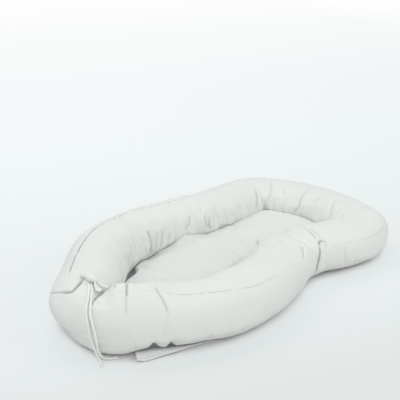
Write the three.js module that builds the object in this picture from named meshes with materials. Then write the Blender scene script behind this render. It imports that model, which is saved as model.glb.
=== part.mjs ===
// Infant lounger: a stuffed roll bent into a waisted ring round a thin padded mattress.
// Millimetres. +X runs from the foot end to the head end, +Y to the far side, +Z up.
// The origin is on the floor, under the middle of the outline.
//
// The roll is one ring in three lengths: the head length is fixed to the base panel, and the
// far and near lengths swing outward about the creases at the waist when the tie at the foot
// is undone. Each length has its wadding, a top panel and an outer panel, which meet at the
// seam along the upper outer edge. The ring isn't quite even, as a soft thing lies.
import * as THREE from "three";

// Plan of the ring, measured on the middle of the roll
const ringLength = 775;
const ringHalfWidth = 192;
const footAcrossShare = -0.062;

// The ring's outline is softened over this reach, from none to full at these lengths from the
// roll's ends
const softening = 24;
const softenedFrom = [90, 170];
const softeningReachShare = 3;
const softenedCount = 96;

// The roll
const rollHalfWidth = 72.6;
const footRollHeight = 117;
const headRollHeight = 84;
const rollRoundness = 2.25;
const rollBottomShare = 0.88;
const coverThickness = 1.6;
const clearance = 0.3;
const seamGap = 0.3;

// The ends of the roll at the foot, gathered by the tie
const footTurnShare = 0.94;
const endTaperShare = 0.2;
const endTaperLength = 75;
const endTopShare = 0.6;
const innerDrawShare = 0.2;
const innerDrawShares = [1.25, 1.8];
const buttShares = [0.93, 0.62, 0.3];
const buttRounding = 1.8;

// Where the ring turns tightly, the roll's inner side stays within the turn
const turnShare = 0.97;
const turnSpan = 12;

// The creases at the waist, where the sides swing
const waistCreaseDepth = 9;
const waistCreaseWidth = 17;
const waistCreaseAngle = 55;
const waistCreaseLeastShare = 0.24;

// Base panel and mattress
const baseThickness = 3;
const baseReach = 18;
const mattressClearance = 2;
const mattressCornerRadius = 30;
const mattressThickness = 27;
const mattressCrown = 5;
const mattressCoverThickness = 1.4;

// The tie and the strap at the foot
const cordDiameter = 5;
const knotLength = 19;
const knotWidth = 15;
const knotHeight = 12;
const mouthLength = 12;
const mouthDiameter = 10;
const mouthBore = 6.4;
const mouthLipShare = 0.8;
const strapThickness = 2.4;

const degree = Math.PI / 180;

// Outlines

// Where the ring passes, as shares of its length and of its half width, foot to head
const farShares = [
  [-0.418, 0.395],
  [-0.272, 0.859],
  [-0.065, 1.042],
  [0.118, 0.875],
  [0.263, 0.76],
  [0.423, 0.706],
];
const headShares = [[0.5, -0.042]];
const nearShares = [
  [0.49, -0.5],
  [0.455, -0.87],
  [0.36, -1.06],
  [0.25, -0.94],
  [0.144, -0.765],
  [-0.065, -0.957],
  [-0.272, -0.883],
  [-0.416, -0.5],
];
const farWaistIndex = 3;
const nearWaistIndex = 4;

// The foot is a round turn: the ends meet at its first angle
const farTurnAngles = [190, 170, 150, 130];
const nearTurnAngles = [230, 210];

function ringPoints() {
  const turn = rollHalfWidth * footTurnShare;
  const centre = [-ringLength / 2 + turn, ringHalfWidth * footAcrossShare];
  const onTurn = (angle) => [
    centre[0] + turn * Math.cos(angle * degree),
    centre[1] + turn * Math.sin(angle * degree),
  ];
  const inPlan = ([along, across]) => [along * ringLength, across * ringHalfWidth];
  return [
    ...farTurnAngles.map(onTurn),
    ...farShares.map(inPlan),
    ...headShares.map(inPlan),
    ...nearShares.map(inPlan),
    ...nearTurnAngles.map(onTurn),
  ];
}

const points = ringPoints();
const stepsPerPoint = 60;

function closedCurve(places) {
  const curve = new THREE.CatmullRomCurve3(places, true, "centripetal");
  curve.arcLengthDivisions = places.length * stepsPerPoint;
  return curve;
}

const drawn = closedCurve(points.map(([x, y]) => new THREE.Vector3(x, y, 0)));
const drawnLengths = drawn.getLengths();
const drawnTotal = drawn.getLength();

// Away from the foot each place on the drawn ring moves to the mean of its surroundings,
// because a stuffed roll bends in no sharp corner
function softenedPlaces() {
  const places = drawn.getSpacedPoints(softenedCount).slice(0, -1);
  const spacing = drawnTotal / softenedCount;
  const reach = Math.ceil((softening * softeningReachShare) / spacing);
  return places.map((place, index) => {
    const mean = new THREE.Vector3();
    let total = 0;
    for (let away = -reach; away <= reach; away++) {
      const weight = Math.exp(-((away * spacing) ** 2) / softening ** 2 / 2);
      mean.addScaledVector(places[(index + away + softenedCount) % softenedCount], weight);
      total += weight;
    }
    const fromEnd = Math.min(index, softenedCount - index) * spacing;
    return place.clone().lerp(mean.divideScalar(total), smoothStep(...softenedFrom, fromEnd));
  });
}

const ring = closedCurve(softenedPlaces());
const ringTotal = ring.getLength();
const lengthAtPoint = (index) =>
  (drawnLengths[index * stepsPerPoint] / drawnTotal) * ringTotal;
const farWaist = lengthAtPoint(farTurnAngles.length + farWaistIndex);
const nearWaist = lengthAtPoint(
  farTurnAngles.length + farShares.length + headShares.length + nearWaistIndex,
);

// A place on the ring: its middle, and the level direction away from the ring's inside
function placeOnRing(length) {
  const share = (((length / ringTotal) % 1) + 1) % 1;
  const middle = ring.getPointAt(share);
  const along = ring.getTangentAt(share);
  return { middle, outward: new THREE.Vector3(-along.y, along.x, 0).normalize() };
}

// The radius that the ring turns at round its inside; endless where it runs straight or bends out
function turnRadius(length) {
  const before = placeOnRing(length - turnSpan).outward;
  const after = placeOnRing(length + turnSpan).outward;
  const turned = Math.atan2(before.y * after.x - before.x * after.y, before.dot(after));
  return turned > 0 ? (2 * turnSpan) / turned : Infinity;
}

// The section of the roll

function smoothStep(low, high, value) {
  const t = Math.min(Math.max((value - low) / (high - low), 0), 1);
  return t * t * (3 - 2 * t);
}

const power = (value, exponent) => Math.sign(value) * Math.abs(value) ** exponent;

// Folds drawn in the stuffed roll: how far round the ring as a share of its total, the angle
// up the section that each is deepest at, its reach in degrees, depth and width
const foldDepth = 5;
const foldWidth = 11;
const footDrawDepth = 9;
const footDrawWidth = 42;
const folds = [
  { share: 0, angle: -12, reach: 32, depth: footDrawDepth, width: footDrawWidth },
  { share: 0.145, angle: 170, reach: 45, depth: foldDepth, width: foldWidth },
  { share: 0.205, angle: 165, reach: 45, depth: foldDepth, width: foldWidth },
  { share: 0.233, angle: 170, reach: 45, depth: foldDepth, width: foldWidth },
  { share: 0.397, angle: 150, reach: 50, depth: foldDepth, width: foldWidth },
  { share: 0.443, angle: 120, reach: 45, depth: foldDepth, width: foldWidth },
  { share: 0.496, angle: 130, reach: 50, depth: foldDepth, width: foldWidth },
  { share: 0.55, angle: 115, reach: 40, depth: foldDepth, width: foldWidth },
  { share: 0.744, angle: 50, reach: 35, depth: foldDepth, width: foldWidth },
  { share: 0.934, angle: 60, reach: 50, depth: foldDepth, width: foldWidth },
  { share: 0.969, angle: 75, reach: 45, depth: foldDepth, width: foldWidth },
  { share: 1, angle: -12, reach: 32, depth: footDrawDepth, width: footDrawWidth },
];

function foldAt(length, angle) {
  let depth = 0;
  for (const waist of [farWaist, nearWaist]) {
    const away = (length - waist) / waistCreaseWidth;
    const turned = (1 - Math.cos((angle - waistCreaseAngle) * degree)) / 2;
    const share = 1 - (1 - waistCreaseLeastShare) * turned;
    depth += waistCreaseDepth * Math.exp(-away * away) * share;
  }
  for (const fold of folds) {
    const away = (length - fold.share * ringTotal) / fold.width;
    const turned = (angle - fold.angle) / fold.reach;
    depth += fold.depth * Math.exp(-away * away - turned * turned);
  }
  return depth;
}

// A point on the roll at a length round the ring and an angle up the section, where 0 faces
// out, 90 is the top and 180 faces in; inset moves the whole section inside its surface
function rollPoint(length, angle, inset, scale) {
  const { middle, outward } = placeOnRing(length);
  const fromEnd = Math.min(length, ringTotal - length);
  const taper = Math.max(1 - fromEnd / endTaperLength, 0);
  const ends = 1 - endTaperShare * taper * taper;
  const [drawn, free] = innerDrawShares;
  const inner =
    1 - innerDrawShare * (1 - smoothStep(drawn * rollHalfWidth, free * rollHalfWidth, fromEnd));
  const turn = (turnShare * turnRadius(length)) / rollHalfWidth;
  const towardHead = Math.min(Math.max(middle.x / ringLength + 1 / 2, 0), 1);
  const height = footRollHeight + (headRollHeight - footRollHeight) * towardHead;
  const half = height / (1 + rollBottomShare);
  const cosine = Math.cos(angle * degree);
  const sine = Math.sin(angle * degree);
  const side = cosine > 0 ? ends : Math.min(inner, ends, turn);
  const fold = foldAt(length, angle);
  const reach = (rollHalfWidth * side - inset) * scale;
  const top = sine > 0 ? 1 - endTopShare * (1 - ends) : 1;
  const rise = (half * top - inset) * scale;
  const sink = half * rollBottomShare - inset;
  const floor = baseThickness + clearance;
  const normal = new THREE.Vector2(cosine / rollHalfWidth, sine / half).normalize();
  const across = reach * power(cosine, 2 / rollRoundness) - fold * normal.x * scale;
  const up = rise * power(sine, 2 / rollRoundness) - fold * Math.max(normal.y, 0) * scale;
  return new THREE.Vector3(
    middle.x + outward.x * across,
    middle.y + outward.y * across,
    floor + half * rollBottomShare + Math.max(up, -sink * scale),
  );
}

// Closed meshes from rows of points

function meshFromTriangles(vertices, triangles) {
  const geometry = new THREE.BufferGeometry();
  geometry.setAttribute(
    "position",
    new THREE.Float32BufferAttribute(vertices.flatMap((v) => [v.x, v.y, v.z]), 3),
  );
  geometry.setIndex(triangles.flat());
  return geometry;
}

// A closed body between two sheets of points that face the same way: outer and inner are
// rows of equal length, and the open edges are joined
function shellGeometry(outer, inner) {
  const rows = outer.length;
  const columns = outer[0].length;
  const vertices = [...outer.flat(), ...inner.flat()];
  const front = (row, column) => row * columns + column;
  const back = (row, column) => rows * columns + row * columns + column;
  const triangles = [];
  const quad = (a, b, c, d) => triangles.push([a, b, c], [a, c, d]);
  for (let row = 0; row < rows - 1; row++) {
    for (let column = 0; column < columns - 1; column++) {
      const [a, b] = [[row, column], [row, column + 1]];
      const [c, d] = [[row + 1, column + 1], [row + 1, column]];
      quad(front(...a), front(...d), front(...c), front(...b));
      quad(back(...a), back(...b), back(...c), back(...d));
    }
  }
  for (let row = 0; row < rows - 1; row++) {
    quad(front(row, 0), back(row, 0), back(row + 1, 0), front(row + 1, 0));
    const last = columns - 1;
    quad(front(row, last), front(row + 1, last), back(row + 1, last), back(row, last));
  }
  for (let column = 0; column < columns - 1; column++) {
    quad(front(0, column), front(0, column + 1), back(0, column + 1), back(0, column));
    const last = rows - 1;
    quad(front(last, column), back(last, column), back(last, column + 1), front(last, column + 1));
  }
  return meshFromTriangles(vertices, triangles);
}

// A closed body of rings of points, each end closed by a fan
function loftGeometry(rings) {
  const count = rings[0].length;
  const vertices = rings.flat();
  const triangles = [];
  const at = (row, column) => row * count + (column % count);
  for (let row = 0; row < rings.length - 1; row++) {
    for (let column = 0; column < count; column++) {
      const next = column + 1;
      triangles.push([at(row, column), at(row + 1, column), at(row + 1, next)]);
      triangles.push([at(row, column), at(row + 1, next), at(row, next)]);
    }
  }
  for (const [row, flip] of [[0, false], [rings.length - 1, true]]) {
    const centre = new THREE.Vector3();
    rings[row].forEach((v) => centre.add(v));
    vertices.push(centre.divideScalar(count));
    for (let column = 0; column < count; column++) {
      const edge = [at(row, column), at(row, column + 1)];
      triangles.push([vertices.length - 1, ...(flip ? edge.reverse() : edge)]);
    }
  }
  return meshFromTriangles(vertices, triangles);
}

// The three lengths of roll

// The seam between the top and outer panels wanders: places round the ring as shares of its
// total, and how far up the section the seam lies there, in degrees
const seamShares = [
  [0, 72],
  [0.045, 68],
  [0.115, 71],
  [0.18, 64],
  [0.238, 84],
  [0.3, 78],
  [0.4, 62],
  [0.5, 46],
  [0.585, 31],
  [0.636, 31],
  [0.693, 43],
  [0.829, 54],
  [0.906, 75],
  [0.942, 85],
  [1, 72],
];
const bottomAngle = 262;
const outerBottomAngle = -82;
const topAngleSteps = 10;
const outerAngleSteps = 7;
const fillInset = coverThickness + clearance;

function seamAt(length) {
  const share = Math.min(Math.max(length / ringTotal, 0), 1);
  const index = Math.max(seamShares.findIndex(([place]) => place >= share), 1);
  const [[from, low], [to, high]] = seamShares.slice(index - 1, index + 1);
  return low + (high - low) * smoothStep(from, to, share);
}

const spread = (from, to, count) =>
  Array.from({ length: count + 1 }, (_, index) => from + ((to - from) * index) / count);
const topAngles = (length) => spread(seamAt(length), bottomAngle, topAngleSteps);
const outerAngles = (length) => spread(outerBottomAngle, seamAt(length), outerAngleSteps);

// Lengths round the ring where the roll is drawn, closer at each fold, with the scale of the
// section; a gathered end turns in over the butt of the roll
function stationsBetween(start, end, count, gatheredStart, gatheredEnd) {
  const lengths = [];
  for (let step = 0; step <= count; step++) {
    lengths.push(start + ((end - start) * step) / count);
  }
  const spacing = (end - start) / count;
  const crease = folds.map((fold) => fold.share * ringTotal);
  for (const length of crease) {
    if (length > start + spacing && length < end - spacing) {
      const nearest = lengths.reduce((best, value, index) =>
        Math.abs(value - length) < Math.abs(lengths[best] - length) ? index : best, 0);
      lengths[nearest] = length;
    }
  }
  const stations = lengths.map((length) => ({ length, scale: 1, turn: 0 }));
  const butt = (length, turn) => buttShares.map((scale) => ({ length, scale, turn }));
  if (gatheredStart) {
    stations[0].length += buttRounding;
    stations.unshift(...butt(start, 1).reverse());
  }
  if (gatheredEnd) {
    stations[stations.length - 1].length -= buttRounding;
    stations.push(...butt(end, -1));
  }
  return stations;
}

// Rows of points at the stations, over the angles that anglesAt gives for each length
function sheetOf(stations, anglesAt, inset) {
  return stations.map(({ length, scale, turn }) =>
    anglesAt(length).map((angle) => rollPoint(length + turn * inset, angle, inset, scale)));
}

function panelGeometry(stations, anglesAt) {
  const [outer, inner] = [0, coverThickness].map((inset) => sheetOf(stations, anglesAt, inset));
  return shellGeometry(outer, inner);
}

// The wadding has its edges under the panels' own, so that it stays inside their flat faces
function fillGeometry(stations) {
  const round = (length) => [...outerAngles(length).slice(0, -1), ...topAngles(length)];
  return loftGeometry(sheetOf(stations, round, fillInset));
}

function rollLength(name, start, end, count, gatheredStart, gatheredEnd) {
  const stations = stationsBetween(start, end, count, gatheredStart, gatheredEnd);
  const gapAngle = seamGap / rollHalfWidth / degree / 2;
  const above = (length) => [seamAt(length) + gapAngle, ...topAngles(length).slice(1)];
  const below = (length) => [...outerAngles(length).slice(0, -1), seamAt(length) - gapAngle];
  const top = panelGeometry(stations, above);
  const outer = panelGeometry(stations, below);
  return [
    named(`${name}_top_panel`, top, cotton),
    named(`${name}_outer_panel`, outer, cotton),
    named(`${name}_filling`, fillGeometry(stations), wadding),
  ];
}

// The lying surface

const outlineCount = 72;
const searchDirections = 288;
const searchStep = 1.3;
const searchSamples = 210;

// The ring's inside, rounded at its corners, as distances from the ring's middle in even
// directions
function insideOutline() {
  const samples = ring.getSpacedPoints(searchSamples);
  const need = rollHalfWidth + mattressClearance + mattressCornerRadius;
  const reachable = [];
  for (let index = 0; index < searchDirections; index++) {
    const angle = (2 * Math.PI * index) / searchDirections;
    const [cosine, sine] = [Math.cos(angle), Math.sin(angle)];
    let reach = 0;
    const clear = (r) =>
      samples.every((p) => Math.hypot(p.x - r * cosine, p.y - r * sine) >= need);
    while (clear(reach + searchStep)) {
      reach += searchStep;
    }
    reachable.push([reach * cosine, reach * sine]);
  }
  const outline = [];
  for (let index = 0; index < outlineCount; index++) {
    const angle = (2 * Math.PI * index) / outlineCount;
    const [cosine, sine] = [Math.cos(angle), Math.sin(angle)];
    let reach = 0;
    for (const [x, y] of reachable) {
      const across = x * sine - y * cosine;
      if (Math.abs(across) < mattressCornerRadius) {
        const round = Math.sqrt(mattressCornerRadius ** 2 - across ** 2);
        reach = Math.max(reach, x * cosine + y * sine + round);
      }
    }
    outline.push({ reach, cosine, sine });
  }
  return outline;
}

// Where the mattress top is drawn down in soft pleats: the middle of each as shares of the
// ring's length and half width, its direction, and its size
const pleatDepth = 2.5;
const pleatWidth = 9;
const pleatLength = 34;
const pleats = [
  { placeShares: [0.17, -0.17], direction: 80 },
  { placeShares: [0.03, -0.27], direction: 20 },
  { placeShares: [0.2, 0.36], direction: 65 },
  { placeShares: [-0.2, 0.34], direction: 40 },
];

function pleatAt(x, y) {
  let depth = 0;
  for (const { placeShares, direction } of pleats) {
    const dx = x - placeShares[0] * ringLength;
    const dy = y - placeShares[1] * ringHalfWidth;
    const along = dx * Math.cos(direction * degree) + dy * Math.sin(direction * degree);
    const across = dy * Math.cos(direction * degree) - dx * Math.sin(direction * degree);
    depth += pleatDepth * Math.exp(-((along / pleatLength) ** 2) - (across / pleatWidth) ** 2);
  }
  return depth;
}

const mattressFloor = baseThickness + clearance;
const mattressMiddle = mattressFloor + mattressThickness / 2;
const mattressRoundness = 2.4;
const edgeShares = [0, 0.06, 0.2, 0.45, 0.9];
const middleShares = [0.62, 0.25];
const inside = insideOutline();

// Rings of the mattress from its edge to its middle; rise is +1 for the top, -1 for below
function mattressRings(rise, inset) {
  const edge = mattressThickness * edgeShares[edgeShares.length - 1];
  const insets = edgeShares.map((share) => share * mattressThickness);
  const ringAt = (reachOf, roundShare) =>
    inside.map((place) => {
      const reach = reachOf(place);
      const [x, y] = [reach * place.cosine, reach * place.sine];
      const crown = mattressCrown * (1 - (reach / place.reach) ** 2) - pleatAt(x, y);
      const half = mattressThickness / 2 - inset + (rise > 0 ? crown : 0);
      const drawnIn = (place.reach - inset) / place.reach;
      const up = half * roundShare + seamGap / 2;
      return new THREE.Vector3(x * drawnIn, y * drawnIn, mattressMiddle + rise * up);
    });
  const round = (distance) =>
    (1 - Math.max(1 - distance / edge, 0) ** mattressRoundness) ** (1 / mattressRoundness);
  return [
    ...insets.map((distance) => ringAt((place) => place.reach - distance, round(distance))),
    ...middleShares.map((share) => ringAt((place) => place.reach * share, 1)),
  ];
}

function mattressPanel(rise) {
  const outer = mattressRings(rise, 0);
  const inner = mattressRings(rise, mattressCoverThickness);
  const [first, second] = rise > 0 ? [inner, outer] : [outer, inner];
  return loftGeometry([...first.reverse(), ...second]);
}

function mattressPad() {
  const inset = mattressCoverThickness + clearance * 2;
  const above = mattressRings(1, inset);
  const below = mattressRings(-1, inset);
  return loftGeometry([...above.reverse(), ...below.slice(1)]);
}

const baseOutlineCount = 144;

function basePanel() {
  const shape = new THREE.Shape();
  for (let index = 0; index < baseOutlineCount; index++) {
    const { middle, outward } = placeOnRing((ringTotal * index) / baseOutlineCount);
    const corner = middle.clone().addScaledVector(outward, baseReach);
    if (index === 0) {
      shape.moveTo(corner.x, corner.y);
    } else {
      shape.lineTo(corner.x, corner.y);
    }
  }
  return new THREE.ExtrudeGeometry(shape, { depth: baseThickness, bevelEnabled: false });
}

// The flat strap that shows on the floor under the near side, sewn to the base panel's edge
const strapFromFoot = 60;
const strapLength = 172;
const strapFootReach = 70;
const strapHeadReach = 31;
const strapSteps = 10;

function footStrap() {
  const corner = (step, reach) => {
    const length = ringTotal - strapFromFoot - (strapLength * step) / strapSteps;
    const { middle, outward } = placeOnRing(length);
    return middle.clone().addScaledVector(outward, reach);
  };
  const corners = [];
  for (let step = 0; step <= strapSteps; step++) {
    const share = step / strapSteps;
    corners.push(corner(step, strapFootReach + (strapHeadReach - strapFootReach) * share));
  }
  for (let step = strapSteps; step >= 0; step--) {
    corners.push(corner(step, baseReach + clearance));
  }
  const shape = new THREE.Shape(corners.map(({ x, y }) => new THREE.Vector2(x, y)));
  return new THREE.ExtrudeGeometry(shape, { depth: strapThickness, bevelEnabled: false });
}

// The tie: a round cotton cord out of both ends of the roll's channel, knotted over the butt,
// with one short loop and two tails down the outside to the floor

const knotPlace = new THREE.Vector3(-366, 9, 123.6);
const knotDirection = new THREE.Vector3(-0.12, 1, 0.15).normalize();
const cordSides = 8;
const tailSteps = 26;
const loopSteps = 26;
const linkSteps = 5;
const knotSides = 14;
const mouthSides = 12;

// Each mouth of the cord's channel lies on the roll: two places under its middle line, as
// shares of the roll's half width along the ring from the roll's end, and angles up the section
const farMouthShares = [
  [0.82, 93],
  [0.93, 88],
];
const nearMouthShares = [
  [-0.083, 110],
  [-0.33, 110],
];

function mouthSeat(seatShares) {
  const lift = mouthDiameter / 2 + clearance;
  const [place, beyond] = seatShares.map(([along, angle]) => {
    const length = (along * rollHalfWidth + ringTotal) % ringTotal;
    return rollPoint(length, angle, -lift, 1);
  });
  return { place, direction: beyond.sub(place).normalize() };
}

const farMouth = mouthSeat(farMouthShares);
const nearMouth = mouthSeat(nearMouthShares);

const farTailRoute = [
  [-375.6, 9, 120.6],
  [-387, -6, 119.4],
  [-409, -28, 113.2],
  [-430, -46, 102],
  [-441, -61, 81.5],
  [-443, -68, 55],
  [-435, -71, 25],
  [-432, -75.5, 10],
  [-434, -83, 3.4],
  [-440.5, -93, 2.8],
];
const nearTailRoute = [
  [-374.8, 1.6, 120],
  [-387, -14, 118],
  [-414, -41, 112.6],
  [-431, -57, 99.4],
  [-438.5, -73, 79.8],
  [-439, -80, 54.7],
  [-434, -77.6, 29],
  [-426.5, -79, 12],
  [-417, -82, 4.4],
  [-401, -93, 2.9],
];
const loopRoute = [
  [-368, -2.9, 123.8],
  [-370, -6.6, 122.8],
  [-374, -11.8, 120.6],
  [-378.4, -17.4, 118],
  [-380.3, -23, 116.6],
  [-379, -27.3, 116.6],
  [-375.3, -29.3, 117.2],
  [-371.6, -27.6, 117.4],
  [-370, -23.4, 116.9],
  [-369.2, -16.4, 116.6],
  [-368, -9.4, 117.2],
  [-366.2, -1.6, 118.1],
];
const linkShares = [0.05, 0.76];
const inMouth = ({ place, direction }) =>
  linkShares.map((share) =>
    place.clone().addScaledVector(direction, share * mouthLength).toArray());
const farLinkRoute = [[-367.2, 19.2, 125], [-367.7, 24, 124.8], ...inMouth(farMouth)];
const nearLinkRoute = [[-361.3, -0.9, 120.8], [-361.8, -10, 118.4], ...inMouth(nearMouth)];

function cordGeometry(route, steps) {
  const path = new THREE.CatmullRomCurve3(route.map((p) => new THREE.Vector3(...p)));
  const section = new THREE.Shape();
  for (let side = 0; side < cordSides; side++) {
    const angle = (2 * Math.PI * side) / cordSides;
    const corner = [Math.cos(angle), Math.sin(angle)].map((v) => (v * cordDiameter) / 2);
    if (side === 0) {
      section.moveTo(...corner);
    } else {
      section.lineTo(...corner);
    }
  }
  return new THREE.ExtrudeGeometry(section, { steps, extrudePath: path, bevelEnabled: false });
}

// A body turned about a line: pairs of place along it and distance from it
function turnedAlong(profile, place, direction, sides) {
  const geometry = new THREE.LatheGeometry(
    profile.map(([along, radius]) => new THREE.Vector2(radius, along)),
    sides,
  );
  const up = new THREE.Vector3(0, 1, 0);
  geometry.applyQuaternion(new THREE.Quaternion().setFromUnitVectors(up, direction));
  return geometry.translate(place.x, place.y, place.z);
}

// The knot: two turns side by side, wider than high
function knotGeometry() {
  const half = knotLength / 2;
  const bulgeShares = [[-1, 0], [-1, 0.7], [-0.86, 0.92], [-0.45, 1], [0, 0.8],
    [0.45, 1], [0.86, 0.92], [1, 0.7], [1, 0]];
  const profile = bulgeShares.map(([along, out]) => [along * half, (out * knotWidth) / 2]);
  const geometry = turnedAlong(profile, new THREE.Vector3(), knotDirection, knotSides);
  geometry.scale(1, 1, knotHeight / knotWidth);
  return geometry.translate(knotPlace.x, knotPlace.y, knotPlace.z);
}

// The mouth of the cord's channel: a short fabric sleeve, blind where it joins the cover
function mouthGeometry({ place, direction }) {
  const [outer, bore, wall] = [mouthDiameter / 2, mouthBore / 2, coverThickness];
  const profile = [
    [mouthLength, 0],
    [mouthLength, outer * mouthLipShare],
    [mouthLength - wall, outer],
    [0, outer],
    [0, bore],
    [mouthLength - wall, bore],
    [mouthLength - wall, 0],
  ];
  return turnedAlong(profile, place, direction, mouthSides);
}

// Colours and finishes

const fabricFinish = (name, color, roughness) =>
  new THREE.MeshStandardMaterial({ name, color, roughness, metalness: 0 });
const cotton = fabricFinish("cotton", 0xdfe2de, 0.92);
const padCotton = fabricFinish("pad cotton", 0xdce0dc, 0.92);
const wadding = fabricFinish("wadding", 0xf2f2ee, 1);
const foam = fabricFinish("foam", 0xefeee6, 1);
const underside = fabricFinish("underside", 0xd5d9d5, 0.95);
const cordCotton = fabricFinish("cord cotton", 0xe9ebe6, 0.85);

function facingOut(geometry) {
  const position = geometry.getAttribute("position");
  const corner = (index) => new THREE.Vector3().fromBufferAttribute(position, index);
  const order = geometry.index ? [...geometry.index.array] : [...Array(position.count).keys()];
  let volume = 0;
  for (let start = 0; start < order.length; start += 3) {
    const [a, b, c] = order.slice(start, start + 3).map(corner);
    volume += a.dot(b.cross(c));
  }
  if (volume < 0) {
    for (let start = 0; start < order.length; start += 3) {
      [order[start + 1], order[start + 2]] = [order[start + 2], order[start + 1]];
    }
  }
  geometry.setIndex(order);
  geometry.computeVertexNormals();
  return geometry;
}

function named(name, geometry, material) {
  const mesh = new THREE.Mesh(facingOut(geometry), material);
  mesh.name = name;
  return mesh;
}

// Assembly

const headStations = 32;
const sideStations = 24;
const lengthEnds = {
  head: [farWaist + clearance, nearWaist - clearance],
  far: [clearance, farWaist - clearance],
  near: [nearWaist + clearance, ringTotal - clearance],
};
const lounger = new THREE.Group();
lounger.add(
  named("base_panel", basePanel(), underside),
  named("foot_strap", footStrap(), underside),
  ...rollLength("head", ...lengthEnds.head, headStations, false, false),
  ...rollLength("far", ...lengthEnds.far, sideStations, true, false),
  ...rollLength("near", ...lengthEnds.near, sideStations, false, true),
  named("mattress_top", mattressPanel(1), padCotton),
  named("mattress_bottom", mattressPanel(-1), padCotton),
  named("mattress_pad", mattressPad(), foam),
  named("mouth_far", mouthGeometry(farMouth), cotton),
  named("mouth_near", mouthGeometry(nearMouth), cotton),
);
const onCord = [
  named("tie_knot", knotGeometry(), cordCotton),
  named("tie_loop", cordGeometry(loopRoute, loopSteps), cordCotton),
  named("tie_tail_far", cordGeometry(farTailRoute, tailSteps), cordCotton),
  named("tie_tail_near", cordGeometry(nearTailRoute, tailSteps), cordCotton),
  named("tie_link_far", cordGeometry(farLinkRoute, linkSteps), cordCotton),
  named("tie_link_near", cordGeometry(nearLinkRoute, linkSteps), cordCotton),
];

// The origin goes under the middle of all but the cord
const outline = new THREE.Box3().setFromObject(lounger);
const centre = outline.getCenter(new THREE.Vector3());
lounger.add(...onCord);
lounger.position.set(-centre.x, -centre.y, 0);
const part = new THREE.Group();
part.add(lounger);

export default part;
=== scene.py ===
# Dresses the infant lounger: the cotton cover of its stuffed roll, the padded mattress,
# the base sheet and strap, and the tie at the foot, on a pale floor in soft light.
# Metres. +X runs from the foot end to the head end, +Y to the far side, +Z up.
import math

import bpy
import numpy as np
from bpy.props import FloatProperty, FloatVectorProperty, IntProperty, PointerProperty
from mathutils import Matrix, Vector, noise


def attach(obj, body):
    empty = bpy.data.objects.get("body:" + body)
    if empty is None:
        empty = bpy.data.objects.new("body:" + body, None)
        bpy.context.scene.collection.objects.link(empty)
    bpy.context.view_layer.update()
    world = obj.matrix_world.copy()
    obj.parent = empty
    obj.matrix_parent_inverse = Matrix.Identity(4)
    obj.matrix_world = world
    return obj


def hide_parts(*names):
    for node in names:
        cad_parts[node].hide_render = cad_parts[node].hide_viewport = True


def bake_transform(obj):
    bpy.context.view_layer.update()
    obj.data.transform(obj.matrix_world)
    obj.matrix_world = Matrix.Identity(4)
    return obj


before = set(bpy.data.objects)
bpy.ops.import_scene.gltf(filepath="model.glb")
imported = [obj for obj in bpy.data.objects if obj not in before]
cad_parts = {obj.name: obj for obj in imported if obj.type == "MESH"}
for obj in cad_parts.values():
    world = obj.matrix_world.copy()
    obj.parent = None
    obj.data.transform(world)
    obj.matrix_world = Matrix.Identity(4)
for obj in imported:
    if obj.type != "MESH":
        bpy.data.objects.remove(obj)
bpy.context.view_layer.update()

bl_info = {
    "name": "Infant Lounger",
    "version": (1, 0, 0),
    "blender": (4, 5, 0),
    "location": "3D View > Sidebar > Lounger",
    "description": "Makes the soft pieces of a tied infant lounger and lights it",
    "category": "Object",
}

# The ring, as the solids have it

RING_LENGTH = 0.775
RING_HALF_WIDTH = 0.192
ROLL_HALF_WIDTH = 0.0726
FOOT_ROLL_HEIGHT = 0.117
HEAD_ROLL_HEIGHT = 0.084
ROLL_ROUNDNESS = 2.25
ROLL_BOTTOM_SHARE = 0.88
BASE_THICKNESS = 0.003
BASE_REACH = 0.018
CLEARANCE = 0.0003
FOOT_TURN_SHARE = 0.94
FOOT_ACROSS_SHARE = -0.062
END_TAPER_SHARE = 0.2
END_TAPER_LENGTH = 0.075
END_TOP_SHARE = 0.6
INNER_DRAW_SHARE = 0.2
INNER_DRAW_SHARES = (1.25, 1.8)
TURN_SHARE = 0.97
WAIST_CREASE_DEPTH = 0.009
WAIST_CREASE_WIDTH = 0.017
FOOT_DRAW_DEPTH = 0.009
FOOT_DRAW_WIDTH = 0.042
FOOT_DRAW_ANGLE = -12
FOOT_DRAW_REACH = 32
FAR_TURN_ANGLES = (190, 170, 150, 130)
NEAR_TURN_ANGLES = (230, 210)
FAR_SHARES = (
    (-0.418, 0.395),
    (-0.272, 0.859),
    (-0.065, 1.042),
    (0.118, 0.875),
    (0.263, 0.76),
    (0.423, 0.706),
)
HEAD_SHARES = ((0.5, -0.042),)
NEAR_SHARES = (
    (0.49, -0.5),
    (0.455, -0.87),
    (0.36, -1.06),
    (0.25, -0.94),
    (0.144, -0.765),
    (-0.065, -0.957),
    (-0.272, -0.883),
    (-0.416, -0.5),
)
FAR_WAIST_POINT = 7
NEAR_WAIST_POINT = 15
SOFTENING = 0.024
SOFTENED_FROM = (0.09, 0.17)
SOFTENED_COUNT = 96
# The solids' own ring has its middle here, and the part's origin is moved to it
RING_MIDDLE = (0.0063796, -0.0010403)
STEPS_PER_POINT = 60


def smooth_step(low, high, value):
    t = np.clip((value - low) / (high - low), 0.0, 1.0)
    return t * t * (3 - 2 * t)


def hill(value, middle, reach):
    """One at the middle, falling to nothing over a few reaches to both sides."""
    return np.exp(-(((value - middle) / reach) ** 2))


def unit(vectors):
    """Vectors at length one."""
    return vectors / np.maximum(np.linalg.norm(vectors, axis=-1, keepdims=True), 1e-12)


def lengths_along(line):
    """The length along a line to each of its points."""
    return np.r_[0, np.cumsum(np.linalg.norm(np.diff(line, axis=0), axis=1))]


def places_at(line, lengths, at):
    """Points of a line at the given lengths along it."""
    return np.stack([np.interp(at, lengths, column) for column in line.T], axis=1)


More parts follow.
